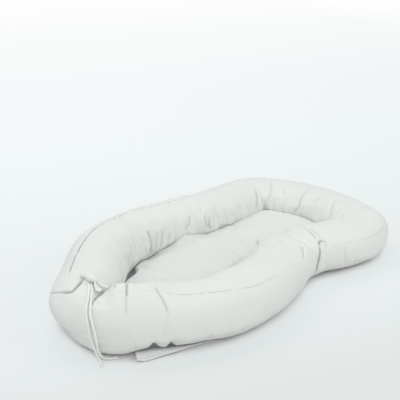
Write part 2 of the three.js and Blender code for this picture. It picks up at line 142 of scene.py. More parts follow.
def curve_pieces(points, steps):
    """Pieces of the smooth curve through a row of points, from its second to its last but one."""
    pieces = []
    t = np.linspace(0, 1, steps, endpoint=False)[:, None]
    for p0, p1, p2, p3 in zip(points, points[1:], points[2:], points[3:]):
        d0, d1, d2 = (max(np.linalg.norm(b - a), 1e-6) ** 0.5
                      for a, b in ((p0, p1), (p1, p2), (p2, p3)))
        m1 = ((p1 - p0) / d0 - (p2 - p0) / (d0 + d1) + (p2 - p1) / d1) * d1
        m2 = ((p2 - p1) / d1 - (p3 - p1) / (d1 + d2) + (p3 - p2) / d2) * d1
        pieces.append(p1 + m1 * t + (-3 * p1 + 3 * p2 - 2 * m1 - m2) * t**2
                      + (2 * p1 - 2 * p2 + m1 + m2) * t**3)
    return pieces


def closed_curve(points):
    """Points along a smooth closed curve through the given ones, and the lengths to them."""
    given = np.asarray(points, float)
    round_again = np.vstack([given[-1:], given, given[:2]])
    line = np.vstack(curve_pieces(round_again, STEPS_PER_POINT) + [given[:1]])
    return line, lengths_along(line)


def spaced(line, lengths, count):
    """That many points at even lengths along a closed line."""
    return places_at(line, lengths, np.linspace(0, lengths[-1], count, endpoint=False))


def closed_smooth(values, spacing, sigma):
    """Values at even spacing round a closed line, smoothed over that many metres."""
    reach = math.ceil(3 * sigma / spacing)
    away = np.arange(-reach, reach + 1)
    weights = np.exp(-((away * spacing / sigma) ** 2) / 2)
    index = (np.arange(len(values))[:, None] + away) % len(values)
    return (values[index] * (weights / weights.sum())[None, :, None]).sum(1)


def draw_ring():
    """The ring's middle line, softened away from the foot as the solids have it."""
    turn = ROLL_HALF_WIDTH * FOOT_TURN_SHARE
    middle = np.array([-RING_LENGTH / 2 + turn, RING_HALF_WIDTH * FOOT_ACROSS_SHARE])

    def on_turn(angle):
        a = math.radians(angle)
        return middle + turn * np.array([math.cos(a), math.sin(a)])

    size = np.array([RING_LENGTH, RING_HALF_WIDTH])
    points = [on_turn(a) for a in FAR_TURN_ANGLES]
    points += [np.array(p) * size for p in FAR_SHARES + HEAD_SHARES + NEAR_SHARES]
    points += [on_turn(a) for a in NEAR_TURN_ANGLES]
    line, lengths = closed_curve(points)
    places = spaced(line, lengths, SOFTENED_COUNT)
    spacing = lengths[-1] / SOFTENED_COUNT
    order = np.arange(SOFTENED_COUNT)
    from_end = np.minimum(order, SOFTENED_COUNT - order) * spacing
    share = smooth_step(*SOFTENED_FROM, from_end)[:, None]
    softened_places = closed_smooth(places, spacing, SOFTENING)
    ring, ring_lengths = closed_curve(places * (1 - share) + softened_places * share)
    waists = [lengths[k * STEPS_PER_POINT] / lengths[-1] * ring_lengths[-1]
              for k in (FAR_WAIST_POINT, NEAR_WAIST_POINT)]
    return ring - np.array(RING_MIDDLE), ring_lengths, waists


RING_LINE, RING_LENGTHS, (FAR_WAIST, NEAR_WAIST) = draw_ring()
RING_TOTAL = float(RING_LENGTHS[-1])
RING_SAMPLES = 1957
RING_STEP = RING_TOTAL / RING_SAMPLES
SAMPLE_SOFTENING = 0.006
RING_PLACES = closed_smooth(spaced(RING_LINE, RING_LENGTHS, RING_SAMPLES), RING_STEP,
                            SAMPLE_SOFTENING)
ring_along = np.roll(RING_PLACES, -1, 0) - np.roll(RING_PLACES, 1, 0)
RING_OUTWARD = unit(closed_smooth(unit(ring_along[:, ::-1] * (-1, 1)), RING_STEP,
                                  SAMPLE_SOFTENING))


def ring_value(table, length):
    """Values of a closed table at lengths round the ring."""
    at = np.mod(np.asarray(length, float), RING_TOTAL) / RING_STEP
    low = np.floor(at).astype(int)
    share = (at - low)[..., None]
    return table[low % RING_SAMPLES] * (1 - share) + table[(low + 1) % RING_SAMPLES] * share


def turn_radii():
    """How tightly the ring turns at each of its samples."""
    lengths = np.arange(RING_SAMPLES) * RING_STEP
    before = ring_value(RING_OUTWARD, lengths - 0.012)
    after = ring_value(RING_OUTWARD, lengths + 0.012)
    crossed = before[:, 1] * after[:, 0] - before[:, 0] * after[:, 1]
    turned = np.arctan2(crossed, (before * after).sum(1))
    return np.where(turned > 1e-4, 0.024 / np.maximum(turned, 1e-4), 100.0)


TURN_RADII = turn_radii()[:, None]

# The seam: places as shares of the ring's total, degrees up the section, how dark the
# painted shade in its groove shows there and how far that shade is broken into dashes
SEAM = (
    (0, 72, 0, 0),
    (0.044, 68, 0.02, 0),
    (0.056, 69, 0.9, 0.1),
    (0.115, 73, 1.1, 0.15),
    (0.165, 72, 1.5, 0.5),
    (0.205, 75, 1.6, 0.8),
    (0.25, 81, 1.4, 0.9),
    (0.3, 78, 0.6, 0.6),
    (0.4, 62, 0.4, 0.3),
    (0.5, 46, 0.4, 0.3),
    (0.585, 31, 0.55, 0.4),
    (0.61, 31, 0.25, 0.7),
    (0.67, 38, 0.12, 0.7),
    (0.693, 43, 0.02, 0.5),
    (0.8, 53, 0.02, 0.5),
    (0.829, 54, 0.35, 0.8),
    (0.906, 75, 0.45, 0.7),
    (0.942, 85, 0.35, 0.6),
    (0.955, 82, 0.03, 0.3),
    (1, 72, 0, 0),
)


def seam_value(length, column):
    """A column of the seam's table at lengths round the ring."""
    share = np.clip(np.asarray(length) / RING_TOTAL, 0, 1)
    value = np.zeros_like(share)
    for low, high in zip(SEAM, SEAM[1:]):
        here = (share >= low[0]) & (share <= high[0])
        step = smooth_step(low[0], high[0], share)
        value = np.where(here, low[column] + (high[column] - low[column]) * step, value)
    return value


def from_split(length):
    """Signed length from where the roll's two ends meet: far end above 0, near end below."""
    return np.mod(np.asarray(length) + RING_TOTAL / 2, RING_TOTAL) - RING_TOTAL / 2


# The line where the two ends meet leans along the ring: degrees up the section, metres
SPLIT_LEAN = ((-90, 0), (-60, -0.017), (-26, -0.0215), (-3, -0.0185), (22, -0.0145),
              (50, -0.0105), (72, -0.0055), (95, 0), (270, 0))
SPLIT_LEAN_REACH = 0.07


def leaned(length, angle):
    """Lengths round the ring of a mesh whose rows run along the leaning split."""
    shift = np.interp(angle, *zip(*SPLIT_LEAN))
    return length + shift * np.exp(-((from_split(length) / SPLIT_LEAN_REACH) ** 2))


def roll_surface(length, angle):
    """Points of the plain roll at lengths round the ring and angles up its section."""
    length, angle = np.broadcast_arrays(np.asarray(length, float), np.asarray(angle, float))
    middle = ring_value(RING_PLACES, length)
    outward = ring_value(RING_OUTWARD, length)
    from_end = np.abs(from_split(length))
    taper = np.maximum(1 - from_end / END_TAPER_LENGTH, 0)
    ends = 1 - END_TAPER_SHARE * taper**2
    low, high = (k * ROLL_HALF_WIDTH for k in INNER_DRAW_SHARES)
    inner = 1 - INNER_DRAW_SHARE * (1 - smooth_step(low, high, from_end))
    turn = TURN_SHARE * ring_value(TURN_RADII, length)[..., 0] / ROLL_HALF_WIDTH
    inner = np.minimum(np.minimum(inner, ends), turn)
    toward_head = np.clip((middle[..., 0] + RING_MIDDLE[0]) / RING_LENGTH + 0.5, 0, 1)
    height = FOOT_ROLL_HEIGHT + (HEAD_ROLL_HEIGHT - FOOT_ROLL_HEIGHT) * toward_head
    half = height / (1 + ROLL_BOTTOM_SHARE)
    cosine, sine = np.cos(np.radians(angle)), np.sin(np.radians(angle))
    side = np.where(cosine > 0, ends, inner)
    top = np.where(sine > 0, 1 - END_TOP_SHARE * (1 - ends), 1.0)
    fold = broad_folds(length, angle)
    normal_x, normal_z = cosine / ROLL_HALF_WIDTH, sine / half
    size = np.hypot(normal_x, normal_z)
    power = 2 / ROLL_ROUNDNESS
    across = ROLL_HALF_WIDTH * side * np.sign(cosine) * np.abs(cosine) ** power
    up = half * top * np.sign(sine) * np.abs(sine) ** power
    across = across - fold * normal_x / size
    up = up - fold * np.maximum(normal_z / size, 0)
    sink = half * ROLL_BOTTOM_SHARE
    height = BASE_THICKNESS + CLEARANCE + sink + soft_floor(up, sink)
    plan = middle + outward * across[..., None]
    return np.concatenate([plan, height[..., None]], axis=-1)


def soft_floor(up, sink):
    """The underside lies flat, with a soft turn up from the floor."""
    over = up + sink
    turn = 0.006
    return -sink + np.where(over > turn, over, np.maximum(over + turn, 0) ** 2 / (4 * turn))


def broad_folds(length, angle):
    """The broad hollows of the roll: the creases at the waist and the draw at the foot."""
    turned = (1 - np.cos(np.radians(angle - 55))) / 2
    depth = np.zeros(np.broadcast(length, angle).shape)
    for waist in (FAR_WAIST, NEAR_WAIST):
        crease = hill(length, waist, WAIST_CREASE_WIDTH)
        depth = depth + WAIST_CREASE_DEPTH * crease * (1 - 0.76 * turned)
    draw = hill(from_split(length), 0, FOOT_DRAW_WIDTH)
    return depth + FOOT_DRAW_DEPTH * draw * hill(angle, FOOT_DRAW_ANGLE, FOOT_DRAW_REACH)


# Settings


def colour_setting(name, description, default):
    return FloatVectorProperty(name=name, description=description, subtype="COLOR",
                               default=default, min=0, max=1)


def length_setting(name, description, default, low, high):
    return FloatProperty(name=name, description=description, unit="LENGTH", default=default,
                         min=low, max=high)


class LoungerCloth(bpy.types.PropertyGroup):
    """Colours and weave of the cotton."""

    cover: colour_setting("Cover", "Cotton of the roll", (0.745, 0.765, 0.735))
    mattress: colour_setting("Mattress", "Cotton of the mattress", (0.7, 0.722, 0.7))
    underside: colour_setting(
        "Underside", "Cotton of the base and strap", (0.88, 0.895, 0.885))
    cord: colour_setting("Cord", "Cotton of the tie", (0.95, 0.955, 0.945))
    thread: length_setting(
        "Thread", "Distance between threads of the weave", 0.0009, 0.0003, 0.004)


class LoungerRoll(bpy.types.PropertyGroup):
    """How the stuffed roll is finished."""

    step: length_setting("Row step", "Distance between rows of the mesh", 0.0022, 0.001, 0.02)
    columns: IntProperty(
        name="Columns", description="Points round the roll", default=146, min=40, max=400)
    lump: length_setting("Lumps", "Height of the stuffing's soft lumps", 0.0022, 0, 0.01)
    seam_depth: length_setting("Seam depth", "How far the seam is drawn in", 0.0024, 0, 0.01)
    far_rounding: length_setting(
        "Far end rounding", "Rounding of the far gathered end at its top", 0.011, 0.004, 0.04)
    near_rounding: length_setting(
        "Near end rounding", "Rounding of the near gathered end at its top", 0.027, 0.004, 0.04)
    near_lift: length_setting(
        "Near end lift", "How much fuller the near end is at its top", 0.0125, 0, 0.02)


class LoungerStage(bpy.types.PropertyGroup):
    """Camera, floor and light."""

    lens: FloatProperty(
        name="Lens", description="Focal length in millimetres", default=72.27, min=20, max=200)
    pitch: FloatProperty(
        name="Pitch", description="How far the camera looks down", subtype="ANGLE",
        default=0.4065, min=0, max=1.5)
    yaw: FloatProperty(
        name="Yaw", description="Which way the camera looks, from +Y toward +X",
        subtype="ANGLE", default=0.8553, min=-3.2, max=3.2)
    place: FloatVectorProperty(
        name="Place", description="Where the camera stands", subtype="TRANSLATION",
        default=(-1.2882716, -1.0702317, 0.8979), unit="LENGTH")
    sky: FloatProperty(
        name="Sky", description="Strength of the light from all round", default=0.37,
        min=0, max=3)
    lamps: FloatProperty(
        name="Lamps", description="Power of all the soft lamps, in watts", default=88.4,
        min=0, max=500)


GROUPS = {
    "lounger_cloth": LoungerCloth,
    "lounger_roll": LoungerRoll,
    "lounger_stage": LoungerStage,
}

# Node groups and materials


def add_node(nodes, kind, inputs=None, **settings):
    """A new node, with its settings and the plain values of its inputs."""
    node = nodes.new(kind)
    for key, value in settings.items():
        setattr(node, key, value)
    for key, value in (inputs or {}).items():
        node.inputs[key].default_value = value
    return node


def math_node(nodes, links, operation, *values):
    """A Math node whose inputs are numbers or sockets; returns its output."""
    node = add_node(nodes, "ShaderNodeMath", operation=operation)
    for socket, value in zip(node.inputs, values):
        if isinstance(value, (int, float)):
            socket.default_value = value
        else:
            links.new(value, socket)
    return node.outputs[0]


def mix_node(nodes, links, share, low, high):
    """A colour between two, each a tuple or a socket, by a socket's share; returns its output."""
    node = add_node(nodes, "ShaderNodeMix", data_type="RGBA")
    links.new(share, node.inputs["Factor"])
    for socket, value in ((node.inputs["A"], low), (node.inputs["B"], high)):
        if isinstance(value, tuple):
            socket.default_value = (*value, 1)
        else:
            links.new(value, socket)
    return node.outputs["Result"]


def bump_node(nodes, links, height, strength, distance, normal=None):
    """A Bump node, over another one's normal if that is given; returns its output."""
    node = add_node(nodes, "ShaderNodeBump", {"Strength": strength, "Distance": distance})
    links.new(height, node.inputs["Height"])
    if normal:
        links.new(normal, node.inputs["Normal"])
    return node.outputs[0]


def kept_group(name, inputs, outputs, fill):
    """The shader node group of that name, made and filled the first time it is asked for."""
    found = bpy.data.node_groups.get(name)
    if found:
        return found
    group = bpy.data.node_groups.new(name, "ShaderNodeTree")
    for label, kind, value in inputs:
        socket = group.interface.new_socket(label, in_out="INPUT", socket_type=kind)
        if value is not None:
            socket.default_value = value
    for label in outputs:
        group.interface.new_socket(label, in_out="OUTPUT", socket_type="NodeSocketFloat")
    start, end = group.nodes.new("NodeGroupInput"), group.nodes.new("NodeGroupOutput")
    fill(group.nodes, group.links, start.outputs, end.inputs)
    return group


def weave_group():
    """Plain weave: threads over and under each other, with slubs; puts out height and tone."""

    def fill(nodes, links, given, wanted):
        split = nodes.new("ShaderNodeSeparateXYZ")
        links.new(given["Cloth"], split.inputs[0])
        waves = []
        for axis in ("X", "Y"):
            turns = math_node(nodes, links, "DIVIDE", split.outputs[axis], given["Thread"])
            angle = math_node(nodes, links, "MULTIPLY", turns, math.pi)
            waves.append(math_node(nodes, links, "SINE", angle))
        crossed = math_node(nodes, links, "MULTIPLY", waves[0], waves[1])
        slub = add_node(nodes, "ShaderNodeTexNoise", {"Scale": 420, "Detail": 3})
        links.new(given["Cloth"], slub.inputs["Vector"])
        height = math_node(nodes, links, "MULTIPLY_ADD", crossed, 0.5, slub.outputs[0])
        links.new(height, wanted["Height"])
        links.new(slub.outputs[0], wanted["Tone"])

    return kept_group(
        "plain_weave",
        (("Cloth", "NodeSocketVector", None), ("Thread", "NodeSocketFloat", 0.0009)),
        ("Height", "Tone"), fill)


def mottle_group():
    """Slow and fine unevenness of tone over a surface, as a mask round a half."""

    def fill(nodes, links, given, wanted):
        broad = add_node(nodes, "ShaderNodeTexNoise", {"Detail": 4})
        fine = add_node(nodes, "ShaderNodeTexNoise", {"Detail": 5, "Roughness": 0.55})
        finer = math_node(nodes, links, "MULTIPLY", given["Scale"], 9.0)
        for noise_node, scale, label in ((broad, given["Scale"], "Mask"),
                                         (fine, finer, "Crumple")):
            links.new(given["Place"], noise_node.inputs["Vector"])
            links.new(scale, noise_node.inputs["Scale"])
            links.new(noise_node.outputs[0], wanted[label])

    return kept_group(
        "soft_mottle",
        (("Place", "NodeSocketVector", None), ("Scale", "NodeSocketFloat", 6.0)),
        ("Mask", "Crumple"), fill)


def new_material(name, inputs):
    """A material with those values in its shader; returns its nodes, links and shader too."""
    material = bpy.data.materials.new(name)
    material.use_nodes = True
    tree = material.node_tree
    shader = tree.nodes["Principled BSDF"]
    for key, value in inputs.items():
        shader.inputs[key].default_value = value
    return material, tree.nodes, tree.links, shader


def cotton_material(name, colour, thread, fold_shade, crumple):
    """Matt woven cotton: weave and crumple in the bump, and painted shade down in its folds and
    seams, by the fold mask.
    """
    material, nodes, links, shader = new_material(
        name, {"Sheen Weight": 0.12, "Sheen Roughness": 0.6, "Specular IOR Level": 0.25})
    cloth = add_node(nodes, "ShaderNodeAttribute", attribute_name="cloth")
    fold = add_node(nodes, "ShaderNodeAttribute", attribute_name="fold")
    weave = add_node(nodes, "ShaderNodeGroup", {"Thread": thread}, node_tree=weave_group())
    links.new(cloth.outputs["Vector"], weave.inputs["Cloth"])
    place = nodes.new("ShaderNodeTexCoord")
    mottle = add_node(nodes, "ShaderNodeGroup", node_tree=mottle_group())
    links.new(place.outputs["Object"], mottle.inputs["Place"])
    dark = tuple(c * 0.965 for c in colour)
    light = tuple(min(c * 1.035, 1) for c in colour)
    shade = tuple(c * (1 - fold_shade) for c in colour)
    toned = mix_node(nodes, links, mottle.outputs["Mask"], dark, light)
    # painted shade: the fold mask darkens the colour down in creases, seams and gathered ends
    fold_shaded = mix_node(nodes, links, fold.outputs["Fac"], toned, shade)
    links.new(fold_shaded, shader.inputs["Base Color"])
    rough = math_node(nodes, links, "MULTIPLY_ADD", weave.outputs["Tone"], 0.12, 0.84)
    links.new(rough, shader.inputs["Roughness"])
    threads = bump_node(nodes, links, weave.outputs["Height"], 0.35, 0.0004)
    soft = bump_node(nodes, links, mottle.outputs["Crumple"], crumple, 0.0035, threads)
    links.new(soft, shader.inputs["Normal"])
    return material


def cord_material(name, colour):
    """Round braided cotton: two sets of slanting yarns crossing in the bump, with painted shade
    between the yarns.
    """
    material, nodes, links, shader = new_material(
        name, {"Roughness": 0.85, "Sheen Weight": 0.15, "Specular IOR Level": 0.25})
    cloth = add_node(nodes, "ShaderNodeAttribute", attribute_name="cloth")
    split = nodes.new("ShaderNodeSeparateXYZ")
    links.new(cloth.outputs["Vector"], split.inputs[0])
    along = math_node(nodes, links, "MULTIPLY", split.outputs["X"], math.tau / 0.004)
    around = math_node(nodes, links, "MULTIPLY", split.outputs["Y"], math.tau * 4)
    one = math_node(nodes, links, "SINE", math_node(nodes, links, "ADD", along, around))
    two = math_node(nodes, links, "SINE", math_node(nodes, links, "SUBTRACT", along, around))
    braid = math_node(nodes, links, "MAXIMUM", one, two)
    # painted shade: the colour is darker where the braid's height is low, between the yarns
    share = math_node(nodes, links, "MULTIPLY_ADD", braid, 0.5, 0.5)
    toned = mix_node(nodes, links, share, tuple(c * 0.86 for c in colour), colour)
    links.new(toned, shader.inputs["Base Color"])
    links.new(bump_node(nodes, links, braid, 0.6, 0.0006), shader.inputs["Normal"])
    return material


# Each cotton's colour setting, how dark the painted shade in its folds is and how strong its
# crumple is
COTTONS = {
    "cover_cotton": ("cover", 0.7, 0.35),
    "mattress_cotton": ("mattress", 0.5, 0.5),
    "underside_cotton": ("underside", 0.5, 0.4),
}


def material_named(name):
    """The material of that name, made the first time it is asked for."""
    found = bpy.data.materials.get(name)
    if found:
        return found
    cloth = bpy.context.scene.lounger_cloth
    if name in COTTONS:
        setting, fold_shade, crumple = COTTONS[name]
        colour = tuple(getattr(cloth, setting))
        return cotton_material(name, colour, cloth.thread, fold_shade, crumple)
    return cord_material(name, tuple(cloth.cord))


# Meshes


def quads(index):
    """Faces between the neighbouring rows and columns of a table of points' numbers."""
    corners = (index[:-1, :-1], index[1:, :-1], index[1:, 1:], index[:-1, 1:])
    return np.stack(corners, axis=-1).reshape(-1, 4)


def grid_faces(rows, columns):
    """Quads of a grid whose rows are closed, with a fan of triangles over each end."""
    index = np.arange(rows * columns).reshape(rows, columns)
    faces = quads(np.pad(index, ((0, 0), (0, 1)), mode="wrap")).tolist()
    last = (rows - 1) * columns
    for k in range(columns):
        after = (k + 1) % columns
        faces.append([k, after, rows * columns])
        faces.append([last + after, last + k, rows * columns + 1])
    return faces


def capped(grid):
    """The values of a grid of closed rows, with one more for the middle of each end."""
    grid = np.asarray(grid, float)
    flat = grid.reshape(-1, *grid.shape[2:])
    return np.concatenate([flat, grid[:1].mean(1), grid[-1:].mean(1)])


def facing_out(points, faces):
    """The faces of a closed form, all turned over if they face into it."""
    corners = np.array([(f[0], f[k], f[k + 1]) for f in faces for k in range(1, len(f) - 1)])
    a, b, c = (points[corners[:, k]] for k in range(3))
    volume = np.einsum("ij,ij->i", a, np.cross(b, c)).sum()
    return faces if volume > 0 else [face[::-1] for face in faces]


def mesh_piece(name, points, faces, material, cloth, fold):
    """A smooth closed object, with its cloth coordinates and its fold mask of painted shade."""
    mesh = bpy.data.meshes.new(name)
    mesh.from_pydata(points.tolist(), [], facing_out(points, faces))
    mesh.shade_smooth()
    attribute = mesh.attributes.new("cloth", "FLOAT_VECTOR", "POINT")
    attribute.data.foreach_set("vector", cloth.astype(np.float32).ravel())
    attribute = mesh.attributes.new("fold", "FLOAT", "POINT")
    attribute.data.foreach_set("value", np.clip(fold, 0, 1).astype(np.float32))
    mesh.materials.append(material_named(material))
    mesh.update()
    piece = bpy.data.objects.new(name, mesh)
    bpy.context.scene.collection.objects.link(piece)
    return piece


def closed_piece(name, grid, material, cloth, fold=None):
    """An object from a grid of closed rows, closed over its first and last row."""
    rows, columns = grid.shape[:2]
    fold = np.zeros((rows, columns)) if fold is None else fold
    return mesh_piece(name, capped(grid), grid_faces(rows, columns), material, capped(cloth),
                      capped(fold))


def sharpen_row(piece, row, columns):
    """Makes one row of a closed piece a sharp edge."""
    mesh = piece.data
    ends = np.zeros(2 * len(mesh.edges), np.int32)
    mesh.edges.foreach_get("vertices", ends)
    attribute = mesh.attributes.new("sharp_edge", "BOOLEAN", "EDGE")
    attribute.data.foreach_set("value", (ends.reshape(-1, 2) // columns == row).all(1))
    mesh.update()


def grid_normals(points):
    """Unit normals of a grid of closed rows, pointing out of the roll."""
    across = (np.roll(points, -1, 1) - np.roll(points, 1, 1)) / 2
    return unit(np.cross(across, np.gradient(points, axis=0)))


def lumps(points, wavelength, seed):
    """Soft noise at points, about -1 to 1."""
    flat = points.reshape(-1, 3) / wavelength + seed * 17.3
    values = np.fromiter((noise.noise(Vector(p)) for p in flat.tolist()), float, len(flat))
    return values.reshape(points.shape[:-1])


def wandering(count, total, low, high, rng):
    """Random values along a closed length, smooth between them."""
    values = rng.uniform(low, high, count)

    def at(length):
        place = np.mod(np.asarray(length) / total, 1) * count
        index = np.floor(place).astype(int)
        share = place - index
        share = share * share * (3 - 2 * share)
        return values[index % count] * (1 - share) + values[(index + 1) % count] * share

    return at


# Creases that show in the cover: places as (share of the ring's total, degrees up the
# section), then depth and width in millimetres, how much the cloth above laps over it, and
# how dark the painted shade in its bottom shows
CREASES = (
    # the fold round the far end, from its outer side to the knot
    (((0.04, 14), (0.0295, 36), (0.022, 54), (0.0164, 68)), 2, 2.4, 0.35, 0.65),
    (((0.0235, 50), (0.019, 60), (0.0164, 68), (0.0189, 78), (0.0227, 86), (0.032, 93)),
     5.5, 3.6, 0.35, 1.5),
    # near end, down from its top edge
    (((0.9667, 110), (0.9667, 100), (0.968, 82), (0.9688, 72)), 2.8, 2.6, 0, 0.9),
    (((0.968, 82), (0.9698, 62), (0.9703, 42)), 1.2, 1.8, 0, 0.35),
    (((0.979, 104), (0.9798, 96), (0.98, 88)), 3, 3, 0, 0.6),
    (((0.9385, 96), (0.9378, 88), (0.9359, 76), (0.934, 66), (0.9321, 51), (0.9305, 36)),
     2.4, 3, 0.2, 0.55),
    (((0.9325, 36), (0.9355, 18), (0.9384, -5)), 1.8, 6, 0, 0.08),
    # near waist: the pinch and the two lines above it
    (((0.6965, 48), (0.702, 30), (0.7085, 12), (0.715, -8), (0.721, -30)), 3, 2.2, 0.3, 0.9),
    (((0.685, 50), (0.69, 57), (0.695, 53), (0.697, 46)), 5, 2.6, 0.4, 1),
    (((0.6929, 117), (0.691, 102), (0.6922, 80), (0.6954, 60)), 3.5, 4, 0, 0.5),
    (((0.6866, 99), (0.686, 84), (0.6866, 66)), 2.5, 4, 0, 0.4),
    (((0.7323, 60), (0.7441, 50), (0.7548, 39)), 3, 5, 0, 0.4),
    (((0.6829, 56), (0.6885, 34)), 2, 4, 0, 0.3),
    (((0.6647, 33), (0.666, 8), (0.6635, -24)), 2, 6, 0, 0.15),
    (((0.741, 104), (0.7404, 96), (0.7441, 90)), 1.5, 4, 0, 0.3),
    # far side, inner wall
    (((0.2058, 140), (0.2052, 160), (0.204, 178), (0.2046, 207)), 5, 5, 0.4, 0.6),
    (((0.2221, 153), (0.2171, 174), (0.2133, 196)), 3.5, 4.5, 0.1, 0.35),
    (((0.2352, 153), (0.2309, 174), (0.2259, 198)), 3.5, 4.5, 0.1, 0.35),
    (((0.2459, 168), (0.2452, 189)), 3, 4, 0, 0.3),
    (((0.284, 135), (0.279, 159), (0.2702, 172)), 3.5, 5, 0.3, 0.35),
    (((0.304, 118), (0.2996, 138)), 2, 4.5, 0, 0.2),
    (((0.3021, 144), (0.3015, 170), (0.304, 189)), 4, 4, 0.1, 0.4),
    (((0.3084, 152), (0.3053, 177), (0.3096, 189)), 4, 4, 0.1, 0.4),
    (((0.3578, 144), (0.354, 165)), 2, 4, 0, 0.25),
    (((0.149, 160), (0.1452, 174), (0.1408, 184)), 3, 4.5, 0.1, 0.3),
    (((0.1233, 156), (0.1271, 172), (0.1308, 186)), 3, 4.5, 0.1, 0.3),
    (((0.164, 108), (0.1664, 108)), 1.5, 3.5, 0, 0.4),
    # head, inner wall
    (((0.4131, 112), (0.3949, 142), (0.3855, 163), (0.3818, 182)), 3, 3.5, 0.3, 0.5),
    (((0.4384, 80), (0.4434, 111), (0.4459, 135), (0.4403, 165)), 2.5, 5, 0.1, 0.35),
    (((0.4622, 104), (0.4684, 135)), 1.5, 5, 0, 0.15),
    (((0.4966, 90), (0.4966, 110), (0.4953, 126), (0.5003, 159), (0.4903, 186)),
     2.8, 5, 0.1, 0.4),
    (((0.5197, 106), (0.5222, 134)), 1.5, 5, 0, 0.15),
    (((0.5435, 88), (0.5497, 114), (0.5653, 140), (0.58, 160)), 2.8, 5, 0.1, 0.35),
    (((0.5991, 116), (0.621, 114)), 2.5, 4.5, 0, 0.3),
)


def softened(row, before, after):
    """A row of values, each softened with its neighbours; it goes on before and after."""
    weights = np.hanning(2 * len(before) + 3)[1:-1]
    return np.convolve(np.r_[before, row, after], weights / weights.sum(), "valid")


def crease_line(path):
    """Points close together on the plain roll, along a path of shares and degrees."""
    at = np.linspace(0, len(path) - 1, 20 * len(path))
    reach = 9
    smooth = []
    for column in zip(*path):
        row = np.interp(at, np.arange(len(path)), column)
        before, after = 2 * row[0] - row[reach:0:-1], 2 * row[-1] - row[-2:-reach - 2:-1]
        smooth.append(softened(row, before, after))
    return roll_surface((smooth[0] * RING_TOTAL)[:, None], smooth[1][:, None])[:, 0]


CREASE_SEARCH = 0.08
CREASE_LINE_WIDTH = 0.0019


def add_crease(offset, mask, points, normals, lengths, path, depth, width, lap, dark):
    """Draws one crease into the offsets along the normal, and paints shade into its bottom."""
    line = crease_line(path)
    along_ring = np.array(path)[:, 0] * RING_TOTAL
    rows = np.flatnonzero((lengths > along_ring.min() - CREASE_SEARCH)
                          & (lengths < along_ring.max() + CREASE_SEARCH))
    if not len(rows):
        return
    rows = slice(rows[0], rows[-1] + 1)
    part = points[rows]
    low, high = line.min(0) - 4 * width, line.max(0) + 4 * width
    inside = np.all((part > low) & (part < high), axis=2)
    where = np.argwhere(inside)
    if not len(where):
        return
    near, outward = part[inside], normals[rows][inside]
    gap = np.linalg.norm(near[:, None, :] - line[None], axis=2)
    best = gap.argmin(1)
    gap = gap[np.arange(len(near)), best]
    t = best / (len(line) - 1)
    strength = np.clip(np.minimum(t, 1 - t) / 0.25, 0, 1)
    strength = strength * (2 - strength)
    strength *= np.where((best == 0) | (best == len(line) - 1), 0, 1)
    along = np.gradient(line, axis=0)[best]
    side = np.einsum("ij,ij->i", np.cross(outward, along), near - line[best])
    valley = 0.62 * hill(gap, 0, width) + 0.38 * hill(gap, 0, 0.45 * width)
    bank = 0.2 * hill(gap, 2.1 * width, 1.1 * width)
    above = np.where(side > 0, 0.6, 0) * hill(gap, 0.9 * width, 0.8 * width)
    index = (where[:, 0] + rows.start, where[:, 1])
    offset[index] += depth * strength * (bank + lap * above - valley)
    # painted shade: a dark line along the crease's bottom, in the fold mask
    shade = 0.8 * dark * strength * hill(gap, 0, CREASE_LINE_WIDTH)
    mask[index] = np.maximum(mask[index], shade)


STUFFING_FRAMES = 20


def stuffed(points, normals, held, spare, pressure):
    """How far the points of a grid of cloth move out as the stuffing presses on it.

    The cloth is simulated on a copy, which is removed again. A grid whose rows close has
    its first column again at the end.
    """
    scene = bpy.context.scene
    faces = quads(np.arange(held.size).reshape(held.shape))
    flat = points.reshape(-1, 3)
    first = flat[faces[len(faces) // 3]]
    turned = np.cross(first[1] - first[0], first[3] - first[0])
    if turned.dot(normals.reshape(-1, 3)[faces[len(faces) // 3, 0]]) < 0:
        faces = faces[:, ::-1]
    mesh = bpy.data.meshes.new("trial_cloth")
    mesh.from_pydata(flat.tolist(), [], faces.tolist())
    trial = bpy.data.objects.new("trial_cloth", mesh)
    scene.collection.objects.link(trial)
    for name, weights in (("held", held), ("taut", 1 - spare)):
        group = trial.vertex_groups.new(name=name)
        levels = np.round(weights.ravel(), 2)
        for level in np.unique(levels):
            group.add(np.flatnonzero(levels == level).tolist(), float(level), "REPLACE")
    cloth = trial.modifiers.new("stuffing", "CLOTH")
    settings = cloth.settings
    settings.quality = 6
    settings.mass = 0.15
    settings.tension_stiffness = settings.compression_stiffness = 12
    settings.shear_stiffness = 4
    settings.bending_stiffness = 0.3
    settings.vertex_group_mass = "held"
    settings.pin_stiffness = 1
    settings.vertex_group_shrink = "taut"
    settings.shrink_min, settings.shrink_max = -0.06, 0.0
    settings.use_pressure = True
    settings.uniform_pressure_force = pressure
    settings.effector_weights.gravity = 0
    cloth.collision_settings.use_collision = False
    for moment in range(1, STUFFING_FRAMES + 1):
        scene.frame_set(moment)
    seen = trial.evaluated_get(bpy.context.evaluated_depsgraph_get())
    moved = np.zeros(3 * len(flat))
    seen.data.vertices.foreach_get("co", moved)
    bpy.data.objects.remove(trial)
    bpy.data.meshes.remove(mesh)
    scene.frame_set(1)
    return ((moved.reshape(points.shape) - points) * normals).sum(2)


def blurred(values, sigma, closed):
    """Values of a grid smoothed over that many steps down and across."""
    for axis, reach in enumerate(np.maximum(np.ceil(3 * np.array(sigma)), 1).astype(int)):
        away = np.arange(-reach, reach + 1)
        weights = np.exp(-((away / max(sigma[axis], 1e-3)) ** 2) / 2)
        weights /= weights.sum()
        wide = np.pad(values, [(reach, reach) if k == axis else (0, 0) for k in (0, 1)],
                      mode="wrap" if closed and axis == 1 else "edge")
        count = values.shape[axis]
        values = sum(w * np.take(wide, np.arange(k, k + count), axis=axis)
                     for k, w in enumerate(weights))
    return values


